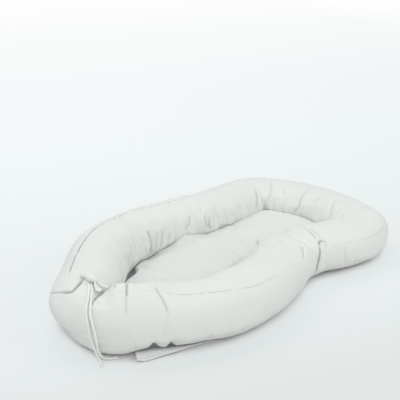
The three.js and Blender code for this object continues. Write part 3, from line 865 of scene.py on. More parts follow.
def from_grid(table, row, column):
    """Values of a table between its rows and columns."""
    row = np.clip(row, 0, table.shape[0] - 1.001)
    column = np.clip(column, 0, table.shape[1] - 1.001)
    i, j = row.astype(int), column.astype(int)
    u, v = row - i, column - j
    return ((table[i, j] * (1 - v) + table[i, j + 1] * v) * (1 - u)
            + (table[i + 1, j] * (1 - v) + table[i + 1, j + 1] * v) * u)


STUFFING_STEP = 0.0055
STUFFING_DEGREES = 4.5
STUFFING_MOST = 0.004
ROLL_PRESSURE = 4.0


def roll_stuffing(start, end, lengths, angles):
    """The soft unevenness of one half of the roll, from its cloth's simulation."""
    rows = np.linspace(start, end, int((end - start) / STUFFING_STEP))
    columns = np.arange(-90, 270 + STUFFING_DEGREES / 2, STUFFING_DEGREES)
    grid_angles = np.broadcast_to(columns, (len(rows), len(columns)))
    points = roll_surface(leaned(rows[:, None], grid_angles), grid_angles)
    normals = unit(np.cross(np.gradient(points, axis=1), np.gradient(points, axis=0)))
    held = 0.04 + 0.86 * hill(grid_angles, seam_value(rows, 1)[:, None], 3.5)
    for path, depth, *_ in CREASES:
        at = np.linspace(0, len(path) - 1, 16 * len(path))
        share, turned = (np.interp(at, np.arange(len(path)), column) for column in zip(*path))
        i = np.round((share * RING_TOTAL - start) / (rows[1] - rows[0])).astype(int)
        j = np.round((turned + 90) / STUFFING_DEGREES).astype(int)
        inside = (i >= 0) & (i < len(rows))
        held[i[inside], j[inside]] = np.maximum(held[i[inside], j[inside]], min(depth / 6, 1))
    under = smooth_step(0.6, 0.85, -np.sin(np.radians(grid_angles)))
    ends = 1 - smooth_step(0.008, 0.02, np.minimum(rows - start, end - rows))[:, None]
    held = np.clip(np.maximum(np.maximum(held, under), ends), 0, 1)
    inner = smooth_step(100, 140, grid_angles) * (1 - smooth_step(225, 250, grid_angles))
    moves = stuffed(points, normals, held, 0.35 + 0.65 * inner, ROLL_PRESSURE)
    broad = blurred(moves, (0.03 / STUFFING_STEP, 7), True)
    moves = blurred(moves - broad, (0.9, 0.9), True) * (0.4 + 0.6 * inner)
    moves = STUFFING_MOST * np.tanh(moves / STUFFING_MOST) * (1 - ends)
    row = (lengths[:, None] - rows[0]) / (rows[1] - rows[0]) + 0 * angles
    return blurred(from_grid(moves, row, (angles + 90) / STUFFING_DEGREES), (1.2, 1.2), True)


# A half of the roll that comes closer than this to where the ends meet is gathered there
GATHERED_WITHIN = 0.01
# Where the first rows lie from a gathered end, and how far the even rows keep from it
END_STEPS = (0, 0.0004, 0.001, 0.0018, 0.0028, 0.004)
END_STEPS_REACH = 0.0055


def roll_lengths(start, end, step):
    """Lengths of the rows, closer at a gathered end."""
    count = max(int(round((end - start) / step)), 2)
    rows = list(np.linspace(start, end, count + 1))
    if start < GATHERED_WITHIN:
        rows = [start + k for k in END_STEPS] + [r for r in rows if r > start + END_STEPS_REACH]
    if end > RING_TOTAL - GATHERED_WITHIN:
        rows = [r for r in rows if r < end - END_STEPS_REACH] + [end - k for k in END_STEPS[::-1]]
    return np.array(rows)


def roll_columns(lengths, columns):
    """Angles of the columns of each row, closer at the seam, and lengths across the cloth."""
    fine_angles = np.linspace(-90, 270, 721)
    section = roll_surface(lengths[:, None], fine_angles[None])
    steps = np.linalg.norm(np.diff(section, axis=1), axis=2)
    arc = np.concatenate([np.zeros((len(lengths), 1)), np.cumsum(steps, axis=1)], axis=1)
    seam = seam_value(lengths, 1)
    close = np.array([0.0008, 0.0016, 0.0025, 0.0036, 0.005, 0.0068, 0.009])
    below_count = int(round(columns * 0.36)) - len(close)
    above_count = columns - below_count - 2 * len(close) - 1
    angles = np.zeros((len(lengths), columns))
    across = np.zeros((len(lengths), columns))
    for row in range(len(lengths)):
        at_seam = np.interp(seam[row], fine_angles, arc[row])
        total = arc[row, -1]
        below = np.linspace(0, at_seam - close[-1], below_count, endpoint=False)
        above = np.linspace(at_seam + close[-1], total, above_count + 1)[:-1]
        place = np.r_[below, at_seam - close[::-1], at_seam, at_seam + close, above[1:]]
        place = np.r_[place, above[-1] + (total - above[-1]) / 2][:columns]
        angles[row] = np.interp(place, arc[row], fine_angles)
        across[row] = place - at_seam
    return angles, across


def seam_relief(lengths, across, depth):
    """The seam drawn in unevenly with its puckers, and the painted shade along its groove."""
    rng = np.random.default_rng(11)
    drawn = wandering(150, RING_TOTAL, 0.25, 1.3, rng)(lengths)[:, None]
    dash = smooth_step(0.3, 0.62, wandering(230, RING_TOTAL, 0, 1, rng)(lengths))
    dark, broken = seam_value(lengths, 2), seam_value(lengths, 3)
    dark = (dark * (1 - broken * (1 - dash)))[:, None]
    show = np.clip(0.08 + 1.3 * dark, 0, 1)
    seam = hill(across, 0, 0.0016)
    relief = depth * show * drawn * (0.18 * hill(np.abs(across), 0.0046, 0.0022) - seam)
    for turn in (1, -1):
        pucker = wandering(230, RING_TOTAL, -1, 1, rng)(lengths)[:, None]
        here = np.where(across * turn > 0, 1, 0) * np.exp(-np.abs(across) / 0.011)
        relief += 0.0009 * show * pucker * here * (1 - seam)
    # painted shade: a dark line down the seam's groove, broken into dashes
    return relief, dark * hill(across, 0, 0.0011)


# Small arches of the near side's lower edge: share of the ring's total, length, rise
HEM_ARCHES = ((0.9455, 0.01, 0.013), (0.9285, 0.006, 0.01))

# Where the roll is fuller or flatter than plain: share of the ring's total and its reach,
# degrees up the section and their reach, metres
FULLNESS = (
    (0.294, 0.013, 60, 36, 0.009),
    (0.712, 0.009, 5, 42, 0.004),
    (0.398, 0.011, 165, 26, 0.006),
    (0.742, 0.022, -8, 34, -0.005),
    (0.782, 0.016, 0, 32, -0.005),
    (0.682, 0.016, -45, 30, -0.003),
    (0.597, 0.022, 30, 40, 0.007),
    (0.622, 0.016, -28, 24, 0.005),
    (0.1, 0.032, 26, 27, -0.0115),
    (0.019, 0.014, -32, 27, -0.015),
)

# The lumps of the stuffing: how long they are in metres, their share of the height, the seed
ROLL_LUMPS = ((0.085, 1, 1), (0.034, 0.45, 2), (0.014, 0.16, 3))

# Little folds where the inner wall meets the mattress, and low on the outer wall: first
# place, lean, degrees of the foot, the middle and the lowest and highest top, then the lowest
# and highest depth, width and step between folds, and the lap
GATHERS = (
    (0.03, 0.004, (206, 180, 138, 162), (0.0005, 0.0018), (0.003, 0.006), (0.018, 0.045), 0.1),
    (0.06, 0.006, (-48, -24, -14, 8), (0.0004, 0.0014), (0.004, 0.007), (0.04, 0.09), 0.0),
)
# How dark the painted shade in the little folds' bottoms is
GATHER_DARK = 0.12
# Shares of the ring between which the inner wall's little folds are nearly flat
CALM_SHARES = (0.375, 0.425)


def small_gathers():
    """Paths, depths, widths and laps of the little folds."""
    rng = np.random.default_rng(23)
    folds = []
    for first, most_lean, (foot, middle, *top), depths, widths, steps, lap in GATHERS:
        place = first
        while place < RING_TOTAL - first:
            share = place / RING_TOTAL
            lean = rng.uniform(-most_lean, most_lean)
            path = ((share, foot), (share + lean / 2, middle), (share + lean, rng.uniform(*top)))
            calm = lap > 0 and CALM_SHARES[0] < share < CALM_SHARES[1]
            depth = rng.uniform(*depths) * (0.1 if calm else 1)
            folds.append((path, depth, rng.uniform(*widths), lap))
            place += rng.uniform(*steps)
    return folds


LEAST_ROUNDING = 0.004


def rounded_end(from_end, angles, size, turned, reach, share):
    """How far a gathered end is drawn in at its edge, most of all round a place up its section."""
    rounding = LEAST_ROUNDING + (size - LEAST_ROUNDING) * hill(angles, turned, reach)
    inside = np.clip(1 - from_end / rounding, 0, 1)
    return rounding * share * (1 - np.sqrt(1 - inside**2))


def near_end_rise(settings, from_end, share, angles):
    """How much higher the near end is at its top, and how far its lower edge is off the floor."""
    sine, cosine = np.sin(np.radians(angles)), np.cos(np.radians(angles))
    full = smooth_step(0.02, 0.04, from_end) * (1 - smooth_step(0.06, 0.16, from_end))
    low = smooth_step(0, -0.6, sine) * smooth_step(-0.75, -0.45, cosine)
    rise = 0.009 * smooth_step(0.86, 0.9, share) * (1 - smooth_step(0.955, 0.977, share))
    for at, wide, high in HEM_ARCHES:
        rise = rise + high * hill(share * RING_TOTAL, at * RING_TOTAL, wide)
    return settings.near_lift * full * hill(angles, 100, 40) + low * rise


def sculpt_roll(start, end):
    """Points, cloth coordinates and fold mask (painted shade) of one half of the roll's cover."""
    settings = bpy.context.scene.lounger_roll
    lengths = roll_lengths(start, end, settings.step)
    angles, across = roll_columns(lengths, settings.columns)
    places = leaned(lengths[:, None], angles)
    share = places / RING_TOTAL
    from_end = np.abs(from_split(lengths))[:, None]
    base = roll_surface(places, angles)
    normals = grid_normals(base)
    offset, shade = seam_relief(lengths, across, settings.seam_depth)
    for size, part, seed in ROLL_LUMPS:
        offset += settings.lump * part * lumps(base, size, seed)
    offset += roll_stuffing(start, end, lengths, angles)
    for path, depth, width, lap, dark in CREASES:
        add_crease(offset, shade, base, normals, lengths, path,
                   depth * 0.001, width * 0.001, lap, dark)
    for path, depth, width, lap in small_gathers():
        add_crease(offset, shade, base, normals, lengths, path, depth, width, lap, GATHER_DARK)
    for at, wide, turned, reach, bulge in FULLNESS:
        offset += bulge * hill(share, at, wide) * hill(angles, turned, reach)
    is_far = start < GATHERED_WITHIN
    if is_far:
        offset -= rounded_end(from_end, angles, settings.far_rounding, 104, 30, 0.9)
    else:
        offset -= rounded_end(from_end, angles, settings.near_rounding, 97, 26, 0.92)
    gather = np.sin(np.radians(angles) * 17 + 2.0 * np.sin(np.radians(angles) * 5))
    offset += 0.0012 * gather * np.exp(-from_end / 0.022) * (from_end > 0.0005)
    points = base + normals * offset[..., None]
    if not is_far:
        points[..., 2] += near_end_rise(settings, from_end, share, angles)
    # the outer edge lies on the floor beside the base panel
    points[..., 2] = np.maximum(points[..., 2], 0.0012)
    cloth = np.stack([np.broadcast_to(lengths[:, None], across.shape), across,
                      np.zeros(across.shape)], axis=2)
    return points, cloth, shade


# Rows that close an end of the roll: their size, and how dark the painted shade on the gathered
# end is
END_ROWS = (0.2, 0.42, 0.66, 0.86)
END_DARK = 0.3


def roll_half(name, start, end):
    """One half of the roll's cover, closed at both ends."""
    points, cloth, mask = sculpt_roll(start, end)
    rows, columns = mask.shape
    is_far = start < GATHERED_WITHIN
    closing = []
    # painted shade on the caps of the gathered ends, in the gap where the two ends meet
    for row, gathered in ((0, is_far), (rows - 1, not is_far)):
        middle = points[row].mean(0)
        closing.append((
            np.array([middle + (points[row] - middle) * size for size in END_ROWS]),
            np.repeat(cloth[row:row + 1], len(END_ROWS), axis=0),
            np.full((len(END_ROWS), columns), END_DARK if gathered else 0.0)))
    grid, cloth, mask = (np.concatenate([first, middle, last[::-1]]) for first, middle, last
                         in zip(closing[0], (points, cloth, mask), closing[1]))
    piece = closed_piece(name, grid, "cover_cotton", cloth, mask)
    sharpen_row(piece, len(END_ROWS) + (rows - 1 if is_far else 0), columns)
    return piece


# Halfway round the head, where the two halves of the cover meet
HEAD_MIDDLE = 0.505 * RING_TOTAL


class LOUNGER_OT_roll(bpy.types.Operator):
    """Make the cover of the stuffed roll, in two halves that meet halfway round the head"""

    bl_idname = "lounger.roll"
    bl_label = "Roll Cover"

    def execute(self, context):
        far = roll_half("roll_cover_far", CLEARANCE, HEAD_MIDDLE)
        near = roll_half("roll_cover_near", HEAD_MIDDLE, RING_TOTAL - CLEARANCE)
        head = ("head_top_panel", "head_outer_panel", "head_filling")
        for piece, side, waist, toward in ((far, "far", FAR_WAIST, 1),
                                           (near, "near", NEAR_WAIST, -1)):
            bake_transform(piece)
            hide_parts(*head, f"{side}_top_panel", f"{side}_outer_panel",
                        f"{side}_filling")
        return {"FINISHED"}


# The mattress

# Soft folds of its top: place, direction in degrees, depth, half length, half width, how dark its
# painted shade is
MATTRESS_FOLDS = (
    (0.156, 0.081, 62, 0.0035, 0.03, 0.007, 0),
    (0.2, 0.014, 70, 0.003, 0.026, 0.006, 0),
    (0.12, -0.032, 42, 0.0045, 0.018, 0.004, 0.7),
    (-0.142, 0.098, 92, 0.005, 0.018, 0.005, 0.15),
    (-0.002, -0.063, 14, 0.004, 0.03, 0.007, 0.06),
    (0.05, -0.02, 25, 0.0022, 0.03, 0.012, 0),
    (0.053, -0.078, -44, 0.002, 0.012, 0.004, 0.2),
    (0.24, -0.05, 75, 0.0025, 0.03, 0.008, 0),
    (-0.16, 0.03, 130, 0.003, 0.035, 0.01, 0),
    (-0.06, 0.07, 150, 0.002, 0.04, 0.012, 0),
)
# Where its top steps up softly toward the head: two places on the ridge, and by how much
MATTRESS_RIDGE = ((0.103, 0.066), (0.18, -0.012))
RIDGE_RISE = 0.005
MATTRESS_BOTTOM = 0.0035
MATTRESS_THICKNESS = 0.0265
MATTRESS_CROWN = 0.0045
# How far in from its outline the edge is rounded, and how far in the rows near it lie
MATTRESS_EDGE = 0.008
MATTRESS_RIM = (0, 0.0004, 0.0011, 0.0021, 0.0034, 0.0052, 0.0074, 0.01, 0.0135, 0.018)
MATTRESS_DIRECTIONS = 400
MATTRESS_LINE_WIDTH = 0.0022
# How high the mattress's edge stands at the wall: direction from the middle in degrees, metres
EDGE_HEIGHTS = (
    (-180, 0.033), (-60, 0.033), (-20, 0.037), (-11, 0.041), (6, 0.041), (15, 0.041),
    (23, 0.04), (34, 0.036), (42, 0.036), (49, 0.033),
    (63, 0.0435), (78, 0.052), (84, 0.05), (92, 0.041), (99, 0.0316), (106, 0.028),
    (113, 0.024), (116, 0.015), (123, 0.014), (130, 0.024), (140, 0.03), (165, 0.033),
    (180, 0.033),
)
# The corner by the foot that stays back from the wall: direction in degrees, reach in metres
CORNER_REACH = ((138, 0.4), (141, 0.186), (148, 0.185), (152, 0.19), (155, 0.2),
                (158, 0.215), (160.5, 0.23), (164, 0.4))


def wall_reach(height, directions):
    """How far the inner wall stands from the ring's middle at a height, by direction."""
    lengths = np.linspace(CLEARANCE, RING_TOTAL - CLEARANCE, 1200)[:, None]
    places = roll_surface(lengths, np.arange(150, 262, 2.0)[None])
    last = (places[..., 2] > height).cumsum(1).argmax(1)
    rows = np.arange(len(places))
    above, below = places[rows, last], places[rows, np.minimum(last + 1, places.shape[1] - 1)]
    share = (above[:, 2] - height) / np.maximum(above[:, 2] - below[:, 2], 1e-6)
    away = (above + (below - above) * share[:, None])[:, :2] + np.array(RING_MIDDLE)
    angle, reach = np.arctan2(away[:, 1], away[:, 0]), np.hypot(away[:, 0], away[:, 1])
    order = np.argsort(angle)
    return np.interp(directions, angle[order], reach[order], period=math.tau)


def mattress_edge(count):
    """Directions from the mattress's middle, and its edge's reach and height in each."""
    directions = np.arange(count) / count * math.tau - math.pi
    degrees = np.degrees(directions)
    high = np.interp(degrees, *zip(*EDGE_HEIGHTS))
    high = softened(high, high[-4:], high[:4])
    levels = (0.012, 0.02, 0.033, 0.05)
    walls = np.array([wall_reach(level, directions) for level in levels])
    reach = np.array([np.interp(h, levels, wall) for h, wall in zip(high, walls.T)]) - 0.001
    reach = np.minimum(reach, np.interp(degrees, *zip(*CORNER_REACH)))
    return directions, softened(reach, reach[-2:], reach[:2]), high


MATTRESS_PRESSURE = 1.5
MATTRESS_STUFFING_MOST = 0.003


def mattress_stuffing(plan, outline):
    """The soft crumple of the mattress's top, from its cloth's simulation."""
    step = 0.006
    low, high = plan.reshape(-1, 2).min(0) - 2 * step, plan.reshape(-1, 2).max(0) + 2 * step
    x, y = (np.arange(a, b, step) for a, b in zip(low, high))
    points = np.stack([*np.meshgrid(x, y, indexing="ij"), np.zeros((len(x), len(y)))], axis=2)
    away = points[..., :2] + np.array(RING_MIDDLE)
    directions = np.linspace(-math.pi, math.pi, outline.size, endpoint=False)
    reach = np.interp(np.arctan2(away[..., 1], away[..., 0]), directions, outline,
                      period=math.tau)
    held = np.where(reach - np.hypot(away[..., 0], away[..., 1]) < MATTRESS_EDGE, 1, 0.05)
    normals = np.broadcast_to((0.0, 0.0, 1.0), points.shape)
    moves = stuffed(points, normals, held, np.full(held.shape, 0.3), MATTRESS_PRESSURE)
    broad = blurred(moves, (0.035 / step, 0.035 / step), False)
    moves = np.tanh(blurred(moves - broad, (0.9, 0.9), False) / 0.002) * MATTRESS_STUFFING_MOST
    return from_grid(moves, (plan[..., 0] - x[0]) / step, (plan[..., 1] - y[0]) / step)


def beyond_ridge(plan):
    """How far places of the mattress lie past the soft ridge near its head."""
    (x0, y0), (x1, y1) = MATTRESS_RIDGE
    size = math.hypot(x1 - x0, y1 - y0)
    return ((plan[..., 0] - x0) * (y0 - y1) + (plan[..., 1] - y0) * (x1 - x0)) / size


def add_mattress_folds(upper, shade, plan):
    """Draws the soft folds into the mattress's heights, and paints shade into their bottoms."""
    for x, y, turned, depth, long, wide, dark in MATTRESS_FOLDS:
        c, s = math.cos(math.radians(turned)), math.sin(math.radians(turned))
        dx, dy = plan[..., 0] - x, plan[..., 1] - y
        u, v = dx * c + dy * s, dy * c - dx * s
        upper += depth * hill(u, 0, long) * (0.35 * hill(v, 2 * wide, wide) - hill(v, 0, wide))
        # painted shade: a dark line along the fold's bottom
        line = np.exp(-((u / long) ** 4)) * hill(v, 0, MATTRESS_LINE_WIDTH)
        shade[:] = np.maximum(shade, dark * line)


class LOUNGER_OT_mattress(bpy.types.Operator):
    """Make the thin padded mattress, crowned and softly creased"""

    bl_idname = "lounger.mattress"
    bl_label = "Mattress"

    def execute(self, context):
        directions, outline, high = mattress_edge(MATTRESS_DIRECTIONS)
        heading = np.stack([np.cos(directions), np.sin(directions)], axis=1)
        rim = np.array(MATTRESS_RIM)[:, None]
        shares = np.linspace(1, 0.03, 72)[1:, None]
        reach = np.concatenate([outline - rim, (outline - rim[-1]) * shares])
        inward = outline - reach
        plan = -np.array(RING_MIDDLE) + reach[..., None] * heading
        depth = np.clip(1 - inward / MATTRESS_EDGE, 0, 1)
        lift = (1 - depth**2.2) ** (1 / 2.2)
        flat = np.concatenate([plan, np.zeros((*reach.shape, 1))], axis=2)
        soft = smooth_step(0.004, 0.05, inward)
        swell = smooth_step(0.68, 1, reach / outline)
        thickness, crown, bottom = MATTRESS_THICKNESS, MATTRESS_CROWN, MATTRESS_BOTTOM
        upper = bottom + thickness + crown * (1 - (reach / outline) ** 2)
        upper = upper + (high - bottom - thickness) * swell
        upper += 0.0016 * lumps(flat, 0.07, 5) * soft + 0.0008 * lumps(flat, 0.028, 6) * soft
        upper += mattress_stuffing(plan, outline) * soft
        upper += RIDGE_RISE * smooth_step(-0.01, 0.012, beyond_ridge(plan)) * soft
        shade = np.zeros(reach.shape)
        add_mattress_folds(upper, shade, plan)
        lower = np.maximum(upper - thickness - crown, bottom)
        middle, half = (upper + lower) / 2, (upper - lower) / 2
        top = np.concatenate([plan, (middle + half * lift)[..., None]], axis=2)
        below = np.concatenate([plan, (middle - half * lift)[..., None]], axis=2)[1:]
        points = np.concatenate([top[::-1], below], axis=0)
        mask = np.concatenate([shade[::-1], 0 * shade[1:]], axis=0)
        piece = closed_piece("mattress_cover", points, "mattress_cotton", points * [1, 1, 0],
                             mask)
        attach(piece, "mattress")
        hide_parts("mattress_top", "mattress_bottom", "mattress_pad")
        return {"FINISHED"}


# Base sheet and strap

# Where the strap starts before the end of the ring and how long it is, how far out from the
# ring's middle line its outer edge lies at its ends, and its cloth's thickness
STRAP_START = 0.071
STRAP_LENGTH = 0.165
STRAP_REACH = (0.07, 0.031)
STRAP_THICKNESS = 0.0019


class LOUNGER_OT_base(bpy.types.Operator):
    """Make the base sheet under the roll and the flat strap beside the foot"""

    bl_idname = "lounger.base"
    bl_label = "Base Sheet and Strap"

    def execute(self, context):
        self.base_sheet()
        self.strap()
        return {"FINISHED"}

    def base_sheet(self):
        count = 288
        lengths = np.arange(count) / count * RING_TOTAL
        edge = ring_value(RING_PLACES, lengths) + ring_value(RING_OUTWARD, lengths) * BASE_REACH
        middle = edge.mean(0)
        shares = np.linspace(0.04, 1, 12)
        rows = [np.c_[middle + (edge - middle) * share, np.full(count, height)]
                for height, order in ((0.0028, shares), (0.0003, shares[::-1]))
                for share in order]
        points = np.array(rows)
        piece = closed_piece("base_sheet", points, "underside_cotton", points * [1, 1, 0])
        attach(piece, "lounger")
        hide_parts("base_panel")

    def strap(self):
        share, across = np.linspace(0, 1, 73), np.linspace(0, 1, 13)
        lengths = RING_TOTAL - STRAP_START - STRAP_LENGTH * share
        place, outward = ring_value(RING_PLACES, lengths), ring_value(RING_OUTWARD, lengths)
        low = BASE_REACH + 0.0009
        high = STRAP_REACH[0] + (STRAP_REACH[1] - STRAP_REACH[0]) * share
        reach = low + (high[:, None] - low) * across
        plan = place[:, None] + outward[:, None] * reach[..., None]
        flat = np.concatenate([plan, np.zeros((*reach.shape, 1))], axis=2)
        lift = 0.0006 + 0.0011 * (1 + lumps(flat, 0.03, 8)) * across
        lift += 0.0055 * hill(reach, 0.043, 0.014) * smooth_step(0, 0.25, across)
        lift += 0.007 * hill(share[:, None], 0, 0.06) * smooth_step(0.3, 0.9, across)
        tops = np.concatenate([plan, (lift + STRAP_THICKNESS)[..., None]], axis=2)
        lows = np.concatenate([plan, lift[..., None]], axis=2)
        points = np.concatenate([tops, lows[:, ::-1]], axis=1)
        # painted shade: a thin dark line along the strap's outer edge
        edge = hill(across, 0.9, 0.03) * 0.35 + 0 * share[:, None]
        mask = np.concatenate([edge, 0 * edge], axis=1)
        piece = closed_piece("strap", points, "underside_cotton", points * [1, 1, 0], mask)
        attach(piece, "lounger")
        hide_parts("foot_strap")


# The tie

CORD_RADIUS = 0.0025
# Middle of the knot and its length's direction, in millimetres from the ring's own middle
KNOT_PLACE = (-366.5, 8.5, 126)
KNOT_DIRECTION = Vector((-0.12, 1, 0.12)).normalized()

# Routes of the cords, in millimetres from the ring's own middle, as the solids have them
FAR_TAIL = (
    (-375.6, 9, 120.6), (-387, -6, 119.4), (-409, -28, 113.2), (-430, -46, 102),
    (-441, -61, 81.5), (-443, -68, 55), (-435, -71, 25), (-432, -75.5, 10),
    (-434, -83, 3.4), (-440.5, -93, 2.8),
)
NEAR_TAIL = (
    (-374.8, 1.6, 120), (-387, -14, 118), (-414, -41, 112.6), (-431, -57, 99.4),
    (-438.5, -73, 79.8), (-439, -80, 54.7), (-434, -77.6, 29), (-426.5, -79, 12),
    (-417, -82, 4.4), (-401, -93, 2.9),
)
LOOP = (
    (-368.5, -2.9, 123.8), (-371.6, -6.8, 122.6), (-375.2, -11.4, 120.8),
    (-378.2, -16.4, 119), (-380, -21, 117.8), (-380, -25, 117.3), (-377.8, -27.3, 117.3),
    (-375.1, -25.8, 117.4), (-374, -21.6, 117.2), (-372, -15.6, 117), (-369.4, -9, 117.2),
    (-366.8, -1.6, 118.1),
)
FAR_LINK = ((-367.2, 19.2, 125), (-367.7, 24, 124.8), (-367.66, 29.44, 124.51),
            (-368.54, 37.91, 124.56))
NEAR_LINK = ((-361.3, -0.9, 120.8), (-361.8, -10, 118.4), (-361.35, -23.82, 116.03),
             (-358.17, -31.51, 117.88))
# The mouths of the cord's channel: middle of the open end, and which way the channel runs
MOUTHS = {
    "far": ((-367.6, 28.84, 124.51), (-0.1035, 0.9946, 0.0055)),
    "near": ((-361.57, -23.28, 115.9), (0.3726, -0.9023, 0.2168)),
}


def in_row_frame(route):
    """A route in millimetres from the ring's middle as metres in the row frame."""
    return np.array(route) * 0.001 - np.array([*RING_MIDDLE, 0])


def smooth_route(route, step=0.0012):
    """Points close together on one smooth curve through a route."""
    given = np.asarray(route, float)
    padded = np.vstack([2 * given[0] - given[1], given, 2 * given[-1] - given[-2]])
    line = np.vstack(curve_pieces(padded, 24) + [given[-1:]])
    lengths = lengths_along(line)
    return places_at(line, lengths, np.linspace(0, lengths[-1], max(int(lengths[-1] / step), 6)))


def across_directions(direction):
    """Two directions across a direction: a level one, and one at right angles to both."""
    wide = unit(np.cross(direction, (0, 0, 1.0)))
    return wide, np.cross(wide, direction)


def tube_object(name, path, radius, sides=14):
    """A closed tube of cord along a path, its ends rounded."""
    path = np.asarray(path, float)
    along = unit(np.gradient(path, axis=0))
    side = np.cross(along[0], (0, 0, 1.0))
    around = np.arange(sides) / sides * math.tau
    rows, cloth = [], []
    for place, heading, length in zip(path, along, lengths_along(path)):
        side = unit(side - heading * side.dot(heading))
        up = np.cross(heading, side)
        ring = np.cos(around)[:, None] * side + np.sin(around)[:, None] * up
        rows.append(place + radius * ring)
        cloth.append(np.c_[np.full(sides, length), around / math.tau, np.zeros(sides)])
    first, last = rows[0], rows[-1]
    for share, reach in ((0.8, 0.28), (0.4, 0.45)):
        rows.insert(0, path[0] + (first - path[0]) * share - along[0] * radius * reach)
        rows.append(path[-1] + (last - path[-1]) * share + along[-1] * radius * reach)
        cloth = [cloth[0], *cloth, cloth[-1]]
    return closed_piece(name, np.array(rows), "cord_cotton", np.array(cloth))


def rolled_path(centre, direction, radii, pitch, turns, start, points=120):
    """A helix round a direction, its section wider than high, drawn in at its ends."""
    direction = np.array(direction)
    wide, high = across_directions(direction)
    t = np.linspace(0, 1, points)
    angle = start + t * turns * math.tau
    along = (t - 0.5) * pitch * turns
    draw = (1 - 0.35 * np.abs(2 * t - 1) ** 2.5)[:, None]
    turned = np.cos(angle)[:, None] * wide * radii[0] + np.sin(angle)[:, None] * high * radii[1]
    return np.array(centre) + along[:, None] * direction + turned * draw


class LOUNGER_OT_tie(bpy.types.Operator):
    """Make the tie at the foot: knot, loop, two tails, and the links into the channel"""

    bl_idname = "lounger.tie"
    bl_label = "Tie"

    def execute(self, context):
        knot = self.knot()
        links = [self.cord_piece(f"cord_link_{side}", f"tie_link_{side}", f"{side}_side", route)[0]
                 for side, route in (("far", FAR_LINK), ("near", NEAR_LINK))]
        for name, node, route, far_end, lay, goes in (
                ("cord_tail_far", "tie_tail_far", FAR_TAIL, "bare", "hanging", [*knot, *links]),
                ("cord_tail_near", "tie_tail_near", NEAR_TAIL, "bare", "hanging", []),
                ("cord_loop", "tie_loop", LOOP, "object", "loose", [])):
            piece, path = self.cord_piece(name, node, "near_side", route)
        return {"FINISHED"}

    def knot(self):
        """The knot: three turns round a core, and a strand over them."""
        middle, along = in_row_frame([KNOT_PLACE])[0], np.array(KNOT_DIRECTION)
        helix = rolled_path(middle, along, (0.0064, 0.0049), 0.0057, 2.9, 0.6)
        turns = tube_object("knot", helix, 0.003, 16)
        reach = np.linspace(-0.0105, 0.0105, 14)[:, None]
        core = tube_object("knot_core", middle + reach * along, 0.0046, 12)
        t, front = np.linspace(0, 1, 24)[:, None], np.array((-0.62, -0.5, 0.6))
        over = middle + along * (0.0078 - 0.0175 * t) + front * 0.0086 * np.sin(t * math.pi) ** 0.6
        strand = tube_object("knot_strand", over, 0.0042)
        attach(turns, "near_side")
        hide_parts("tie_knot")
        for piece in (core, strand):
            piece.parent = turns
        return [turns, core, strand]

    def cord_piece(self, name, node, body, route):
        path = smooth_route(in_row_frame(route))
        piece = tube_object(name, path, CORD_RADIUS)
        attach(piece, body)
        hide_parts(node)
        return piece, path


# How far into the channel each ring of a mouth's hem lies, and its radius, in millimetres
MOUTH_PROFILE = ((0, 2.9), (0, 3.6), (1.3, 4.2), (4.2, 3.9), (8, 4.3), (10, 3.9), (10.5, 2.6),
                 (6, 2.7), (2, 2.8))
MOUTH_RIPPLES = 9


class LOUNGER_OT_mouths(bpy.types.Operator):
    """Make the gathered mouths of the cord's channel"""

    bl_idname = "lounger.mouths"
    bl_label = "Channel Mouths"

    def execute(self, context):
        around = np.arange(36) / 36 * math.tau
        for side, (front, inward) in MOUTHS.items():
            front, axis = in_row_frame([front])[0], unit(np.array(inward))
            wide, high = across_directions(axis)
            ring = np.cos(around)[:, None] * wide + np.sin(around)[:, None] * high
            rows = []
            for reach, radius in MOUTH_PROFILE:
                ripple = 1 + 0.09 * np.sin(around * MOUTH_RIPPLES) * max(1 - reach / 10, 0)
                rows.append(front + axis * reach * 0.001 + radius * 0.001 * ripple[:, None] * ring)
            piece = hem_piece(f"channel_mouth_{side}", np.array(rows), "cover_cotton")
            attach(piece, f"{side}_side")
            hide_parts(f"mouth_{side}")
        return {"FINISHED"}


def hem_piece(name, grid, material):
    """An object from closed rows whose last row joins the first, like a hem."""
    points = grid.reshape(-1, 3)
    index = np.arange(len(points)).reshape(grid.shape[:2])
    faces = quads(np.pad(index, ((0, 1), (0, 1)), mode="wrap")).tolist()
    return mesh_piece(name, points, faces, material, points, np.zeros(len(points)))


# Stage

# Soft round lamps: place, size, share of the lamps' power; all aim at the middle of the floor
LAMPS = (
    ((0.55, 1.1, 2.3), 2.0, 0.256),
    ((-1.6, 1.6, 1.8), 1.8, 0.17),
    ((-1.9, -1.6, 1.9), 1.8, 0.339),
    ((1.2, -1.9, 1.7), 1.8, 0.235),
)
# How the floor shows: metres ahead, its colour (painted light, brighter further ahead), and how
# much of it is plain colour
FLOOR_TONES = (
    (-0.48, (0.721, 0.771, 0.764), 0.7),
    (-0.22, (0.806, 0.857, 0.866), 0.7),
    (0.15, (0.837, 0.89, 0.897), 0.7),
    (0.83, (0.921, 0.979, 0.993), 0.7),
    (2.1, (0.975, 0.995, 1.0), 0.88),
    (3.5, (1.0, 1.0, 1.0), 0.97),
    (4.4, (1.0, 1.0, 1.0), 1.0),
)


